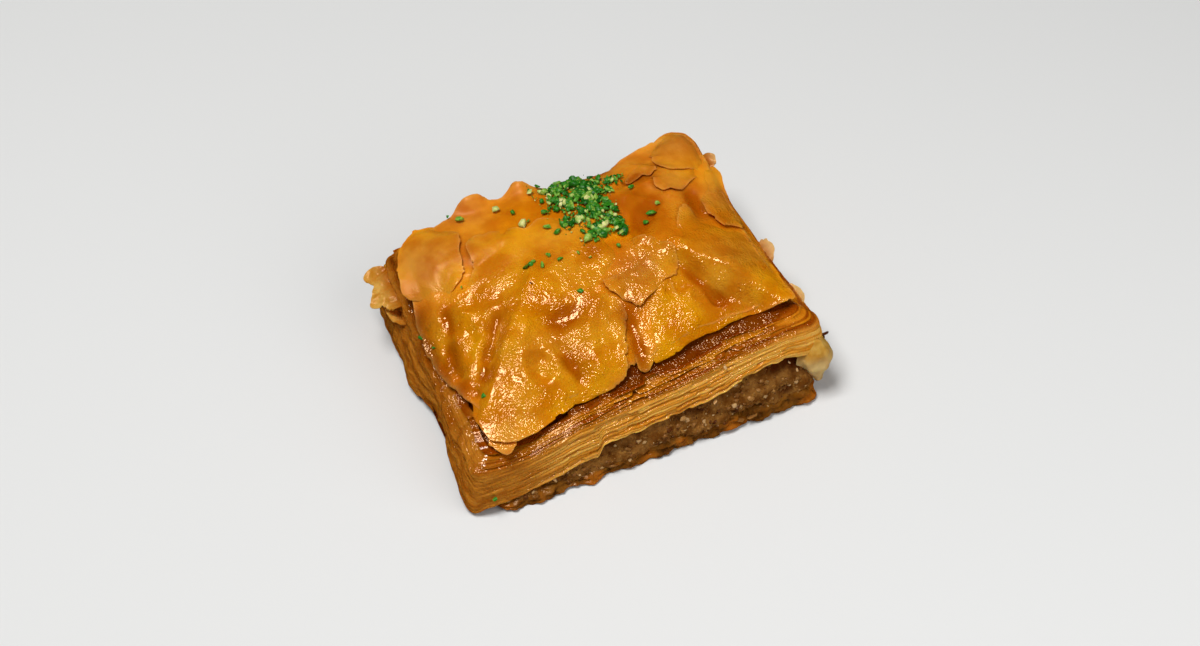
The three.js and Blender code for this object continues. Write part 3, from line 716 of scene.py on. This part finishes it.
    # From the shoulder the top dips inwards and joins the puffed leaf from below.
    for share, dip in [(0.12, 0.1), (0.3, 0.5), (0.5, 0.7), (0.7, 0.5)]:
        ragged = 0.3 * lumps(x, y, 2 + 3 * share, 4)
        line = edge_line(mix(STACK_HIGH, STACK_THROAT, share), ragged)
        height = shoulder - dip + 0.25 * lumps(x, y, 6, 3)
        rings.append(ring(line, np.minimum(height, leaf_height(*line.T) - 0.5)))
    throat = edge_line(STACK_THROAT)
    rings.append(ring(throat, leaf_height(*throat.T) - 0.6))
    rings.append(ring(edge_line(STACK_THROAT * 0.8), height=12.0))
    clean = len(rings) - len(soak) + 1
    smeared = [np.maximum(left, 0.9 * syruped)] * (len(rings) - clean) + [none] * clean
    return piece(
        "stacked_leaves", *loft(rings), stack_material, "golden_pastry",
        tone=loft_shade(tone + [0.3 * full] * 6),
        soak=loft_shade(soak + [full] * 6, ends=1),
        # The top's rings take more and more painted shade as they run in under the puffed leaf.
        crevice=loft_shade(crevice + [d * full for d in (0.5, 0.8, 0.9, 1, 1, 1)], ends=1),
        bead=loft_shade(bead + [bead[-1]] * 2 + [none] * 4),
        smeared=loft_shade(smeared),
    )


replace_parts(stacked_leaves(), "upper_leaves")

# ----------------------------------------
# Puffed leaf. The last sheets of the stack lifted in the oven into one blistered, glassy cushion,
# golden where the light gets in and amber where syrup lies in it, with painted shade in its creases
# and hollows. It is joined to the stack inside its rim and overhangs it by a millimetre or two.

# Patches where the leaf stayed dry and tan: x, y, how far they reach, how strongly.
DRY_PATCHES = [
    (-21.8, 12.8, 5, 1), (5.4, -3.6, 4.2, 0.9), (23, 6, 4, 0.8), (21.5, 17, 4, 0.8),
    (-14, 20.5, 4, 0.8), (-4.5, 20.5, 3, 0.7), (7, 20.5, 6, 0.7), (-22, -18, 2.6, 0.5),
    (-23, -21, 2, 0.8), (1, -14, 2, 0.6), (17, 10, 3, 0.4), (19, -5, 6, 0.3),
]
# Darker patches, where syrup soaked in and where shade is painted in hollows and under flakes:
# x, y, how far they reach, how dark.
STAINS_AND_SHADED_HOLLOWS = [
    (-9, -6.9, 2.8, 1), (-6.5, -5.8, 1.6, 0.7), (-22.7, 3.4, 1.3, 0.8), (-23.4, -2.5, 1.6, 0.8),
    (-18.7, -2.8, 1.2, 0.5), (-19.5, -1, 1.6, 0.4), (-10, -12.5, 1.3, 0.6), (10.5, 6.5, 4.2, 0.8),
    (7, 9.5, 3, 0.5), (2, 14, 5, 0.5), (18.3, 5, 1.8, 1), (18.8, 7.4, 1.6, 1), (13, 13.6, 2.2, 0.8),
    (0.8, -9, 1.6, 0.9), (0.5, -14, 1.2, 0.7), (12.6, -7, 1.8, 0.5), (-27.3, 1.5, 2.2, 1),
    (-27, -3.5, 2.2, 1), (-26.6, 6, 2, 0.9), (-25, -8.5, 1.6, 0.9), (-8, -13, 2.4, 0.5),
    (-21, -9, 1.5, 0.8), (-24, 10.5, 4, 0.3), (0, 2, 1.8, 0.6), (11, 10.5, 1.6, 0.5),
    (16, 14.5, 1.5, 0.4), (15.5, -12, 2.4, 0.5), (-16.6, 10, 1.6, 0.4), (-8.5, 15.5, 3, 0.25),
    (2.5, -6.5, 2.2, 0.5), (-1, 1, 2, 0.2),
]
OUTLINE_STEP = 0.2
ROW_SPACING = 0.87  # rows against columns, in an even grid of triangles


def torn_outline(corners, ragged, seed):
    """A closed line through given corners, softened and then torn."""
    line = np.array(corners, float)
    ahead = np.roll(line, -1, axis=0)
    line = np.stack([mix(line, ahead, 0.15), mix(line, ahead, 0.85)], axis=1).reshape(-1, 2)
    closed = np.vstack([line, line[:1]])
    walked = np.concatenate([[0], np.cumsum(np.linalg.norm(np.diff(closed, axis=0), axis=1))])
    steps = np.linspace(0, walked[-1], int(walked[-1] / OUTLINE_STEP), endpoint=False)
    line = np.column_stack([np.interp(steps, walked, way) for way in closed.T])
    x, y = line.T
    nicks = smooth(lumps(x, y, seed + 60, 1.6), 0.25, 0.4) * (0.6 + lumps(x, y, seed + 70, 0.4))
    waves = lumps(x, y, seed, 2.6) + 0.18 * lumps(x, y, seed + 50, 0.8)
    return moved_out(line, ragged * (waves - 1.2 * nicks))


def shell(top, below, faces):
    """A thin closed shell: a top, the same points again below it, and walls round its rim."""
    count = len(top)
    used = {(a, b) for f in faces for a, b in zip(f, f[1:] + f[:1])}
    walls = [(b, a, a + count, b + count) for a, b in used if (b, a) not in used]
    under = [tuple(i + count for i in reversed(f)) for f in faces]
    return np.vstack([top, below]), faces + under + walls


def leaf_sheet(outline, height, thickness, spacing):
    """A thin leaf inside an outline. height(x, y, rim) is its top, rim how far in a point lies."""
    low, high = outline.min(0), outline.max(0)
    across, along = np.meshgrid(
        np.arange(low[0], high[0], spacing), np.arange(low[1], high[1], spacing * ROW_SPACING)
    )
    across[1::2] += spacing / 2
    inner = np.column_stack([across.ravel(), along.ravel()])

    def rim_distance(points):
        return np.concatenate([
            np.linalg.norm(block[:, None] - outline[None], axis=2).min(1)
            for block in np.array_split(points, max(1, len(points) // 400))
        ])

    inner = inner[rim_distance(inner) > 0.5 * spacing]
    count = len(outline)
    edges = [(i, (i + 1) % count) for i in range(count)]
    places = [Vector(p) for p in [*outline.tolist(), *inner.tolist()]]
    found = delaunay_2d_cdt(places, edges, [], 1, 1e-6)
    flat, faces = np.array([v[:] for v in found[0]]), [tuple(f) for f in found[2]]
    rim = rim_distance(flat)
    top = np.column_stack([flat, height(*flat.T, rim)])
    return *shell(top, top - [0, 0, thickness], faces), np.tile(rim, 2)


def paint_leaf(start):
    patch = start.speckle(4.5, 3, 0.55).between(0.35, 0.65)
    gold = patch.blend("d67600", "f09404")
    tan = patch.blend("c46e1a", "dc8e30")
    body = start.stored("tint").blend(gold, tan)
    # Darker amber where syrup soaked in, and painted shade in creases and hollows.
    body = start.stored("soak").blend(body, "ae5400")
    body = (start.stored("rim") * 0.7).blend(body, "6e3808")
    # Paler torn edges: partly their own colour, partly a painted glow of light through the thin
    # sheet.
    body = (start.stored("edge") * 0.2).blend(body, "f0bc6c")
    freckle = start.speckle(0.9, 3, 0.6).between(0.62, 0.76)
    body = (freckle * 0.25).blend(body, "b06410")
    # Painted shadow: dark lines on this sheet under the loose edges of the flakes above.
    body = (start.stored("crack") * 0.38).blend(body, "6a2c00")
    wet = start.stored("wet")
    grain = start.speckle(2.2, 2).between(0.38, 0.62) * 0.75 + 0.25
    grain = grain * (1 - start.stored("soak") * 0.5)
    syrup = start.speckle(SYRUP_GRAIN, 0) * grain + start.speckle(0.6, 0) * 0.3
    return {
        "Base Color": body,
        "Roughness": start.speckle(1.5, 3) * 0.1 + 0.36 - wet * 0.28,
        "Satin": 1 - wet,
        "Normal": (syrup * wet).relief(SYRUP_RELIEF),
    }


leaf_material = finish(
    "puffed_leaf", paint_leaf, glow=(0.35, (1.0, 0.42, 0.06), 0.9),
    satin={"Specular_IOR_Level": 0.3}, Specular_IOR_Level=1.0, Specular_Tint=SYRUP_GLINT,
)


def standing(x, y, free):
    """How loose a sheet is, from 0 to 1, and how far it stands up, near where it came free."""
    near = [mound((x - cx) / reach, (y - cy) / reach) for cx, cy, reach, _ in free]
    raised = [one * place[3] for one, place in zip(near, free)]
    return np.clip(1.7 * np.max(near, axis=0), 0, 1), np.max(raised, axis=0)


def leaf_piece(name, outline, lift, free, above, seed=0, thickness=0.12, spacing=0.3):
    """A sheet that follows the puffed leaf, lift above it. Where it came free its edge stands up,
    and elsewhere it melts into what lies below. above has loose edges, along which painted
    shadow falls on this sheet in dark lines."""

    def height(x, y, rim):
        loose, raised = standing(x, y, free)
        melted = (lift + 0.22) * mound(rim / 1.3) * (1 - loose)
        crinkle = 0.05 * lumps(x, y, seed, 1.6) * smooth(rim, 0, 1)
        return leaf_height(x, y) + lift + raised - melted + crinkle

    points, faces, rim = leaf_sheet(outline, height, thickness, spacing)
    x, y = points[: len(points) // 2, :2].T
    near_x, near_y = x + 0.8 * lumps(x, y, 81, 2.5), y + 0.8 * lumps(x, y, 82, 2.5)

    def patches(places):
        return sum(
            size * mound((near_x - px) / reach, (near_y - py) / reach)
            for px, py, reach, size in places
        )

    # Painted shade in the hollows between creases, added to the darker syrup patches.
    crease_shade = 0.8 * smooth(-creases(x, y), 0.1, 0.9)
    # Painted shadow along the loose edges of the flakes above.
    crack = np.zeros(len(x))
    for edge in above:
        for rows in np.array_split(np.arange(len(x)), 40):
            gap = np.hypot(x[rows, None] - edge[None, :, 0], y[rows, None] - edge[None, :, 1])
            crack[rows] = np.maximum(crack[rows], (edge[:, 2] * mound(gap / 0.35)).max(1))
    shades = {
        "soak": np.clip(patches(STAINS_AND_SHADED_HOLLOWS) + crease_shade + 0.3 * lumps(x, y, 44, 4), 0, 1),
        "rim": smooth(-x + 1.2 * lumps(x, y, 45, 2), 24.6, 27.2) * smooth(-y, -9, -5),
        # Paler loose edges, partly a painted glow of light through the thin sheet.
        "edge": np.exp(-rim[: len(x)] / 0.25) * standing(x, y, free)[0],
        "tint": np.clip(patches(DRY_PATCHES) + 0.15 + 0.35 * lumps(x, y, 33, 6), 0, 1),
        "wet": smooth(-y + 0.15 * np.abs(x), -7, 1) * 0.9 + 0.1,
        "crack": crack,
    }
    shades = {shade: np.tile(values, 2) for shade, values in shades.items()}
    return piece(name, points, faces, leaf_material, "golden_pastry", **shades)


PUFFED_RIM = [
    (-24.6, -12), (-23.8, -17), (-20, -17.8), (-10, -16.2), (0, -15.4), (10, -14.4), (20, -14),
    (23.6, -14.2), (24.2, -8), (23.8, 0), (24.6, 8), (24.4, 15), (23.4, 19.8), (17, 20.4),
    (10, 18.6), (3, 18.4), (-2, 19.6), (-4.8, 20.9), (-7.5, 19.8), (-10.2, 20.8), (-13.8, 20.9),
    (-16, 19.4), (-20, 18.4), (-24, 16.6), (-25.4, 11), (-26.8, 6), (-27.3, 1), (-27, -4),
    (-25.6, -8.5),
]

# ----------------------------------------
# Torn flakes. Where the puffed leaf was knocked it broke into thin crisp flakes that overlap like
# shards, from the lowest here to the highest. Each has come free at a few places, x, y, reach and
# height, where its torn edge stands up, paler and with a painted glow of light through it, and
# elsewhere syrup holds it down.

FLAKES = {
    "lip_under_tongue": dict(lift=-0.5, seed=23, free=[(-22.9, -20.5, 3, 0)], corners=[
        (-25, -17), (-21, -18.2), (-21.4, -19.8), (-22.5, -20.9), (-23.4, -21), (-24.4, -19.4),
    ]),
    "crack_strip": dict(lift=0.12, seed=12, free=[(-0.2, -16.4, 2, 0.1)], corners=[
        (3, -8.8), (0.6, -9.4), (0, -12), (-0.6, -14.6), (-0.7, -16.3), (0.8, -16.9), (2, -16),
        (2.6, -13), (3.2, -11),
    ]),
    "front_left_leaf": dict(lift=0.25, seed=11, free=[
        (-13, 12.8, 2, 0.15), (-6, 10.8, 3, 0.1), (-16.7, 9.5, 3.5, 0.3), (0.5, -8.5, 2.5, 0.3),
        (-0.6, -12, 2.5, 0.35), (-1.7, -15, 2.5, 0.35), (-22.5, -19.5, 4, 0), (-3, -17, 3, 0),
    ], corners=[
        (-1.2, 10), (-4.4, 11.4), (-7.1, 10.1), (-8.9, 11.8), (-12.3, 12.8), (-15.1, 13),
        (-16.4, 11.8), (-16.6, 8.6), (-17.4, 6.4), (-19.4, 4.6), (-22.4, 4.7), (-26.4, 5),
        (-27.3, 1.5), (-26.8, -3.5), (-25.2, -7), (-24.2, -9.4), (-24.8, -11.9), (-25.5, -13.7),
        (-25.3, -16.4), (-24.6, -18.3), (-22.8, -19.6), (-20.7, -19.9), (-15.7, -18.9),
        (-11.1, -17.4), (-5.9, -17.4), (-2.8, -17.3), (-1.8, -14.5), (-0.6, -12), (0.7, -9.6),
        (0.2, -7.4), (-1.6, -4.3), (1.5, -3), (4, 0), (3, 5),
    ]),
    "front_right_leaf": dict(lift=0.22, seed=13, free=[
        (16.3, 4.8, 1.8, 0.5), (14.5, 2.5, 1.6, 0.15), (24.5, -15.5, 3, 0),
    ], corners=[
        (2.8, -9.5), (2.7, -11.7), (1.9, -14), (1.5, -16.3), (6, -16.1), (8.4, -15.3),
        (12.7, -15.1), (17.2, -14.6), (20.1, -14.9), (24.4, -15.6), (25.2, -15), (24.9, -8),
        (24.3, -0.5), (20.6, 0.3), (18, 2), (16.3, 5.4), (14.4, 2.6), (11.6, -1.9), (9, -3),
        (5, -6),
    ]),
    "lobe_under_middle": dict(lift=0.3, seed=21, free=[(9.2, -8.2, 1.6, 0.12)], corners=[
        (5.8, -6), (8.5, -6), (9, -9.6), (7.9, -11.9), (5.7, -11.2), (3.8, -9.4), (3.6, -8),
    ]),
    "middle_flake": dict(lift=0.5, seed=14, free=[
        (-0.5, -5, 2.6, 0.3), (3.5, -8.3, 2.6, 0.35), (9.5, -6.5, 2.2, 0.12), (11.3, -3, 2, 0.15),
        (8.2, 1.2, 1.4, 0.4),
    ], corners=[
        (6.3, 2.1), (8.3, 1), (8.1, 0.2), (8.7, 0.5), (11.4, -2.5), (11, -4.7), (9.5, -6.5),
        (7, -6.8), (5.1, -8.2), (3, -9), (0.9, -7.2), (-1.4, -4), (0.6, -3.8), (2.2, -3.5), (5, -2),
        (5.8, 0.5),
    ]),
    "little_flap": dict(lift=0.15, seed=22, free=[
        (15.2, 13.4, 1.6, 0.35), (13.4, 13.6, 1.6, 0.35), (11.2, 12.7, 1.6, 0.25),
    ], corners=[
        (10.4, 13.4), (12.4, 15.6), (15.2, 17.2), (17.4, 16.6), (16, 13.6), (14.6, 12.8),
        (13.8, 14), (12.4, 13.4), (11, 12.4),
    ]),
    "small_flap": dict(lift=0.25, seed=19, free=[
        (14.2, 10.4, 2, 0.35), (16.6, 8.4, 2.4, 0.3), (19.6, 9.6, 1.8, 0.15),
    ], corners=[
        (14.8, 14.6), (14.6, 12.4), (14.1, 10.4), (15.1, 8.9), (17.5, 8.1), (19.8, 9.6), (22, 10.8),
        (23.5, 13), (20, 14.6), (17, 15.4),
    ]),
    "right_edge_flake": dict(lift=0.4, seed=16, free=[
        (19.2, 3, 2.4, 0.5), (20.5, 0, 2, 0.35), (22.5, -0.4, 1.6, 0.2),
    ], corners=[
        (20.7, 7.9), (19.5, 4.7), (19.4, 2.5), (20.4, -0.5), (22.2, -0.1), (23.8, -0.9),
        (24.6, 2.2), (24.9, 6.8), (25.8, 10.9), (25.2, 12.6), (22.8, 12.6),
    ]),
    "far_corner_flake": dict(lift=0.4, seed=17, free=[
        (16.8, 15, 2, 0.1), (19, 12.4, 2.4, 0.2),
    ], corners=[
        (16.8, 18.6), (16.4, 16.8), (16.6, 14.2), (17.6, 12.8), (19.8, 12.3), (22.4, 11.8),
        (24.2, 12.6), (24.6, 15), (24.5, 18), (23.8, 20.1), (21.6, 21), (19, 20.6),
    ]),
    "back_left_flake": dict(lift=0.4, seed=18, free=[
        (-16.6, 13, 2.5, 0.3), (-17.6, 9.5, 2.5, 0.35), (-19.2, 6.4, 1.8, 0.1), (-27, 10, 2.5, 0),
    ], corners=[
        (-26.9, 12.7), (-26, 15.3), (-24.6, 17.7), (-21.6, 19.6), (-19.2, 19.3), (-17.4, 17.4),
        (-16, 14.8), (-17.2, 11.7), (-18, 8.8), (-18.9, 6.8), (-20.9, 5.6), (-23.8, 7.2),
        (-26.6, 8.4), (-27.5, 9.8),
    ]),
}

loose_edges = []
for name, flake in reversed(FLAKES.items()):
    outline = torn_outline(flake.pop("corners"), ragged=0.28, seed=flake["seed"])
    leaf_piece(name, outline, above=list(loose_edges), **flake)
    loose, raised = standing(*outline.T, flake["free"])
    loose_edges.append(np.column_stack([outline, np.clip(2.5 * raised, 0, 1)])[loose > 0.5])

# The puffed leaf below them comes last, because their loose edges throw painted shadow lines on it.
# Its own edge is loose everywhere, and stands up nowhere.
outline, all_over = torn_outline(PUFFED_RIM, ragged=0.3, seed=1), (0, 0, 99, 0)
sizes = {"lift": 0.0, "thickness": 0.3, "spacing": 0.36}
puffed = leaf_piece("puffed_leaf", outline, free=[all_over], above=loose_edges, **sizes)
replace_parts(puffed, "upper_leaves")

# ----------------------------------------
# Sheet ends. Thin pale ends of single sheets that the knife pulled out of the stack: one hangs from
# the front right corner over the filling, jagged ones stick out at the back left corner, and a few
# curl out of the right side. They are held where they run into the stack.


def paint_sheet_end(start):
    body = start.speckle(2.0, 3).between(0.35, 0.65).blend("c08228", "dca650")
    body = start.stored("root").blend(body, "a85c06")
    body = start.stored("pale").blend(body, "ecc690")
    return {"Base Color": body, "Normal": start.speckle(0.5, 2).relief(0.06)}


sheet_end_material = finish(
    "sheet_end", paint_sheet_end, glow=(0.4, (1.0, 0.6, 0.3), 1.0),
    Roughness=0.3, Specular_IOR_Level=0.4, Specular_Tint=SYRUP_GLINT,
)

END_THICKNESS = 0.16
END_SPACING = 0.3
STACK_EDGE = 26
HANGING_PATH = [
    (23.6, -20.2), (25.2, -21.9), (27.4, -22.4), (28.8, -21.4), (29, -18.6), (28.4, -15),
]
# Each end: its height where it leaves the stack, how it rises outwards, and its outline from above.
SHEET_ENDS = {
    "back_left_end": dict(height=11, climb=-0.2, corners=[
        (-25, 20), (-26.4, 19.8), (-28.4, 20.3), (-30.2, 20), (-30.5, 19.3), (-29.9, 18.3),
        (-29.4, 17.2), (-30.2, 15.8), (-31.3, 13.8), (-31, 13.1), (-29.6, 12.8), (-28.6, 11.2),
        (-26, 10.6), (-25, 13),
    ]),
    "back_left_lower_end": dict(height=8.8, climb=-0.2, corners=[
        (-25, 17), (-28, 17.2), (-28.9, 15.6), (-29.4, 13.4), (-29.2, 11.4), (-28, 9.4), (-25, 10),
    ]),
    "far_right_end": dict(height=14, climb=0.25, corners=[
        (24, 18.6), (26.6, 18.6), (28, 17.6), (27.9, 16.4), (26.8, 15.6), (24, 16),
    ]),
    "right_end": dict(height=12, climb=0.2, corners=[
        (24, 0.6), (26.8, 0), (28.3, -0.8), (28.6, -2.4), (28, -4), (26.6, -5), (24, -4.6),
    ]),
    "near_right_end": dict(height=11.6, climb=0.2, corners=[
        (25, -9), (27.8, -9.4), (28.6, -10.6), (28.7, -12.4), (27.9, -14.6), (26.6, -15.4),
        (25, -14),
    ]),
}


def sheet_end(name, corners, height, climb):
    """One thin end, whose colour runs from its root in the stack to its paler tip."""
    seed = abs(corners[1][1])
    outline = torn_outline(corners, ragged=0.5, seed=seed)

    def top(x, y, rim):
        curled = 0.2 * np.exp(-rim / 0.5) + ripples(x, y, (0.6, 2.2, seed), (0.35, 0.9, seed))
        return height + climb * (np.abs(x) - STACK_EDGE) + curled

    points, faces, _ = leaf_sheet(outline, top, END_THICKNESS, END_SPACING)
    root = smooth(-np.abs(points[:, 0]), -29.2, -26.8)
    pale = smooth(points[:, 0], 26.4, 28.6) * 0.5
    return piece(name, points, faces, sheet_end_material, "golden_pastry", root=root, pale=pale)


for name, end in SHEET_ENDS.items():
    sheet_end(name, **end)


def hanging_end():
    """The end at the front right corner: a curtain along a curved path, as a thin closed shell."""
    columns, rows, softenings = 44, 24, 12
    steps = np.linspace(0, len(HANGING_PATH) - 1, columns)
    line = np.column_stack([
        np.interp(steps, np.arange(len(HANGING_PATH)), way) for way in zip(*HANGING_PATH)
    ])
    for _ in range(softenings):
        line[1:-1] = (line[:-2] + line[1:-1] * 2 + line[2:]) / 4
    along = np.gradient(line, axis=0)
    outwards = np.column_stack([along[:, 1], -along[:, 0]])
    outwards /= np.linalg.norm(along, axis=1)[:, None]
    bottom = 2.0 + 5 * np.abs(np.linspace(0, 1, columns) - 0.34) + 0.9 * lumps(*line.T, 5, 1.4)

    def skin(inset):
        layers = []
        for drop in np.linspace(0, 1, rows):
            height = mix(11.4, bottom, drop)
            out = 0.9 * math.sin(math.pi * drop) - 1.5 * drop**2 - 1.8 * (1 - drop) ** 3 - inset
            out = out + ripples(*line.T, (0.9, 2.2, height), (0.4, 0.9, height)) * drop**0.5
            layers.append(ring(line + outwards * out[:, None], height))
        return np.concatenate(layers)

    corners = [row * columns + i for row in range(rows - 1) for i in range(columns - 1)]
    faces = [(a, a + columns, a + columns + 1, a + 1) for a in corners]
    points, faces = shell(skin(0.0), skin(END_THICKNESS), faces)
    shades = {"root": np.zeros(len(points)), "pale": smooth(-points[:, 2], -10, -7) * 0.5}
    return piece("hanging_end", points, faces, sheet_end_material, "golden_pastry", **shades)


hanging_end()

# ----------------------------------------
# Chopped pistachio. Fine crumbs, deep green outside and yellow-green inside, that were sprinkled
# on while the syrup was wet and stick to the leaf in a heap and a few strays.


def paint_pistachio(start):
    tone = start.stored("tone") + start.speckle(0.45, 2) * 0.7 - 0.35
    body = tone.ramp((0.0, "12560a"), (0.35, "34821a"), (0.65, "8ab23e"), (1.0, "e0dc8c"))
    return {"Base Color": body, "Normal": start.speckle(0.3, 3).relief(0.06)}


pistachio_material = finish(
    "pistachio_crumbs", paint_pistachio, glow=(0.2, (0.5, 0.8, 0.2), 0.8),
    Roughness=0.4, Specular_IOR_Level=0.35,
)

# The heap as clumps: x, y, how far they spread along x and y, and a quarter of their crumbs.
CLUMPS = [
    (1.5, 17, 3, 1.4, 62), (4.5, 13, 2, 2.4, 66), (0, 13, 2.2, 1.6, 40), (3, 8.6, 2.4, 1.8, 48),
    (1.8, 4.4, 1.6, 0.8, 22), (5.4, 5, 0.9, 1.6, 20), (-1, 8, 1.5, 1.2, 14), (9, 14.5, 1.2, 1, 10),
]
# The larger single crumbs: x, y, size, and tone from deep green to pale yellow.
STRAYS = [
    (-14.9, 17.7, 0.75, 0.6), (-16.2, 19.4, 0.3, 0.3), (-9.4, 17.1, 0.75, 0.85),
    (-7.5, 14.6, 0.55, 0.3), (-7.3, 11.2, 0.8, 0.9), (-6.2, 11.6, 0.35, 0.5),
    (-4.2, 8.7, 0.65, 0.55), (-1.5, 19.3, 0.5, 0.25), (-10.2, 2.9, 0.65, 0.3),
    (-9.4, 3.1, 0.45, 0.3), (-7.9, 2.2, 0.55, 0.5), (-8.8, 3.4, 0.35, 0.4), (-6.3, 3.7, 0.45, 0.5),
    (-5, 2.1, 0.45, 0.4), (-4.5, -4.1, 0.45, 0.35), (-0.8, 0.8, 0.3, 0.6), (-2.1, 2.2, 0.35, 0.6),
    (-19.5, 5.4, 0.25, 0.5), (11.2, 5.4, 0.75, 0.4), (13.1, 7.1, 0.4, 0.6), (9.7, 4.1, 0.45, 0.3),
    (10.5, 11.1, 0.5, 0.4), (-23.2, -11.8, 0.5, 0.35), (0.2, 3.8, 0.95, 0.65),
    (3.4, 5.2, 0.85, 0.95), (3.9, 1, 0.4, 0.4), (3.4, 16, 1, 0.1), (5.6, 9, 0.8, 0.3),
    (0.8, 11.5, 0.8, 0.6),
]
# Three crumbs fell past the rim, onto the front and left side: x, y, z.
FALLEN = [(-26.1, -22.5, 3.9), (-27.2, 3.2, 12.3), (-26, 0.6, 12.4)]
FLAKE_LIFT = 0.35  # how high the flakes under the heap lie on the puffed leaf
FINEST_CRUMB, COARSEST_CRUMB = 0.12, 0.85


def pistachio_crumbs():
    draw = random.Random(7)
    spots = [(x, y, 1.2 * size, tone) for x, y, size, tone in STRAYS]
    for cx, cy, wide, deep, count in CLUMPS:
        for _ in range(4 * count):
            x = cx + wide * np.clip(draw.gauss(0, 0.75), -1.6, 1.6)
            y = cy + deep * np.clip(draw.gauss(0, 0.75), -1.6, 1.6)
            tone = np.clip(draw.gauss(0.3, 0.2) + (0.4 if draw.random() < 0.15 else 0), 0, 1)
            size = mix(FINEST_CRUMB, COARSEST_CRUMB, draw.random() ** 3)
            spots.append((x, y, size, tone))
    x, y, sizes, tones = np.array(spots).T
    parts = []
    for px, py, top, size, tone in zip(x, y, leaf_height(x, y), sizes, tones):
        middle = (px, py, top + FLAKE_LIFT + 0.3 * size)
        parts.append((chip(middle, size, draw, flatness=0.6), tone))
    parts += [(chip(spot, 0.45, draw), 0.3) for spot in FALLEN]
    return many("pistachio_crumbs", parts, pistachio_material, "pistachio")


pistachio_crumbs()

# ----------------------------------------
# Setting. A plain pale tabletop with soft studio light from almost straight above, and the camera.

TABLE_REACH = 3
floor_corners = np.array([(-1, -1, 0), (1, -1, 0), (1, 1, 0), (-1, 1, 0)]) * TABLE_REACH
floor_mesh = bpy.data.meshes.new("tabletop")
floor_mesh.from_pydata(floor_corners.tolist(), [], [(0, 1, 2, 3)])
tabletop = bpy.data.objects.new("tabletop", floor_mesh)
bpy.context.collection.objects.link(tabletop)


def paint_tabletop(start):
    return {"Base Color": start.speckle(300.0, 2).blend("dfdfdd", "e4e4e3")}


floor_mesh.materials.append(finish("tabletop", paint_tabletop, Roughness=0.9))
tabletop.visible_glossy = False


def soft_light(name, direction, distance, size, watts, glints):
    light = bpy.data.lights.new(name, "AREA")
    light.size, light.energy = size, watts
    lamp = bpy.data.objects.new(name, light)
    lamp.visible_glossy = glints
    bpy.context.collection.objects.link(lamp)
    lamp.location = Vector(direction).normalized() * distance
    lamp.rotation_euler = Vector(direction).to_track_quat("Z", "Y").to_euler()


overhead, front = (-0.28, -0.02, 1.0), (0.6, -1.0, 0.95)
soft_light("overhead", overhead, distance=0.6, size=0.24, watts=3.0, glints=True)
soft_light("front_fill", front, distance=0.34, size=0.3, watts=0.39, glints=False)

world = bpy.data.worlds.new("studio")
world.use_nodes = True
sky = world.node_tree.nodes["Background"].inputs
sky["Color"].default_value, sky["Strength"].default_value = colour("f2f4f6"), 0.12
bpy.context.scene.world = world
world.cycles_visibility.glossy = False
bpy.context.scene.view_settings.view_transform = "Standard"

azimuth, elevation, distance = math.radians(-24), math.radians(50), 0.3
aim = Vector((-1.0, -3.2, 10.0)) * MM
level = math.cos(elevation)
back = Vector((math.sin(azimuth) * level, -math.cos(azimuth) * level, math.sin(elevation)))
lens = bpy.data.cameras.new("camera")
lens.lens, lens.sensor_width, lens.sensor_fit = 60, 36, "HORIZONTAL"
lens.clip_start, lens.clip_end = 0.01, 10
camera = bpy.data.objects.new("camera", lens)
bpy.context.collection.objects.link(camera)
camera.location = aim + back * distance
camera.rotation_euler = back.to_track_quat("Z", "Y").to_euler()
bpy.context.scene.camera = camera
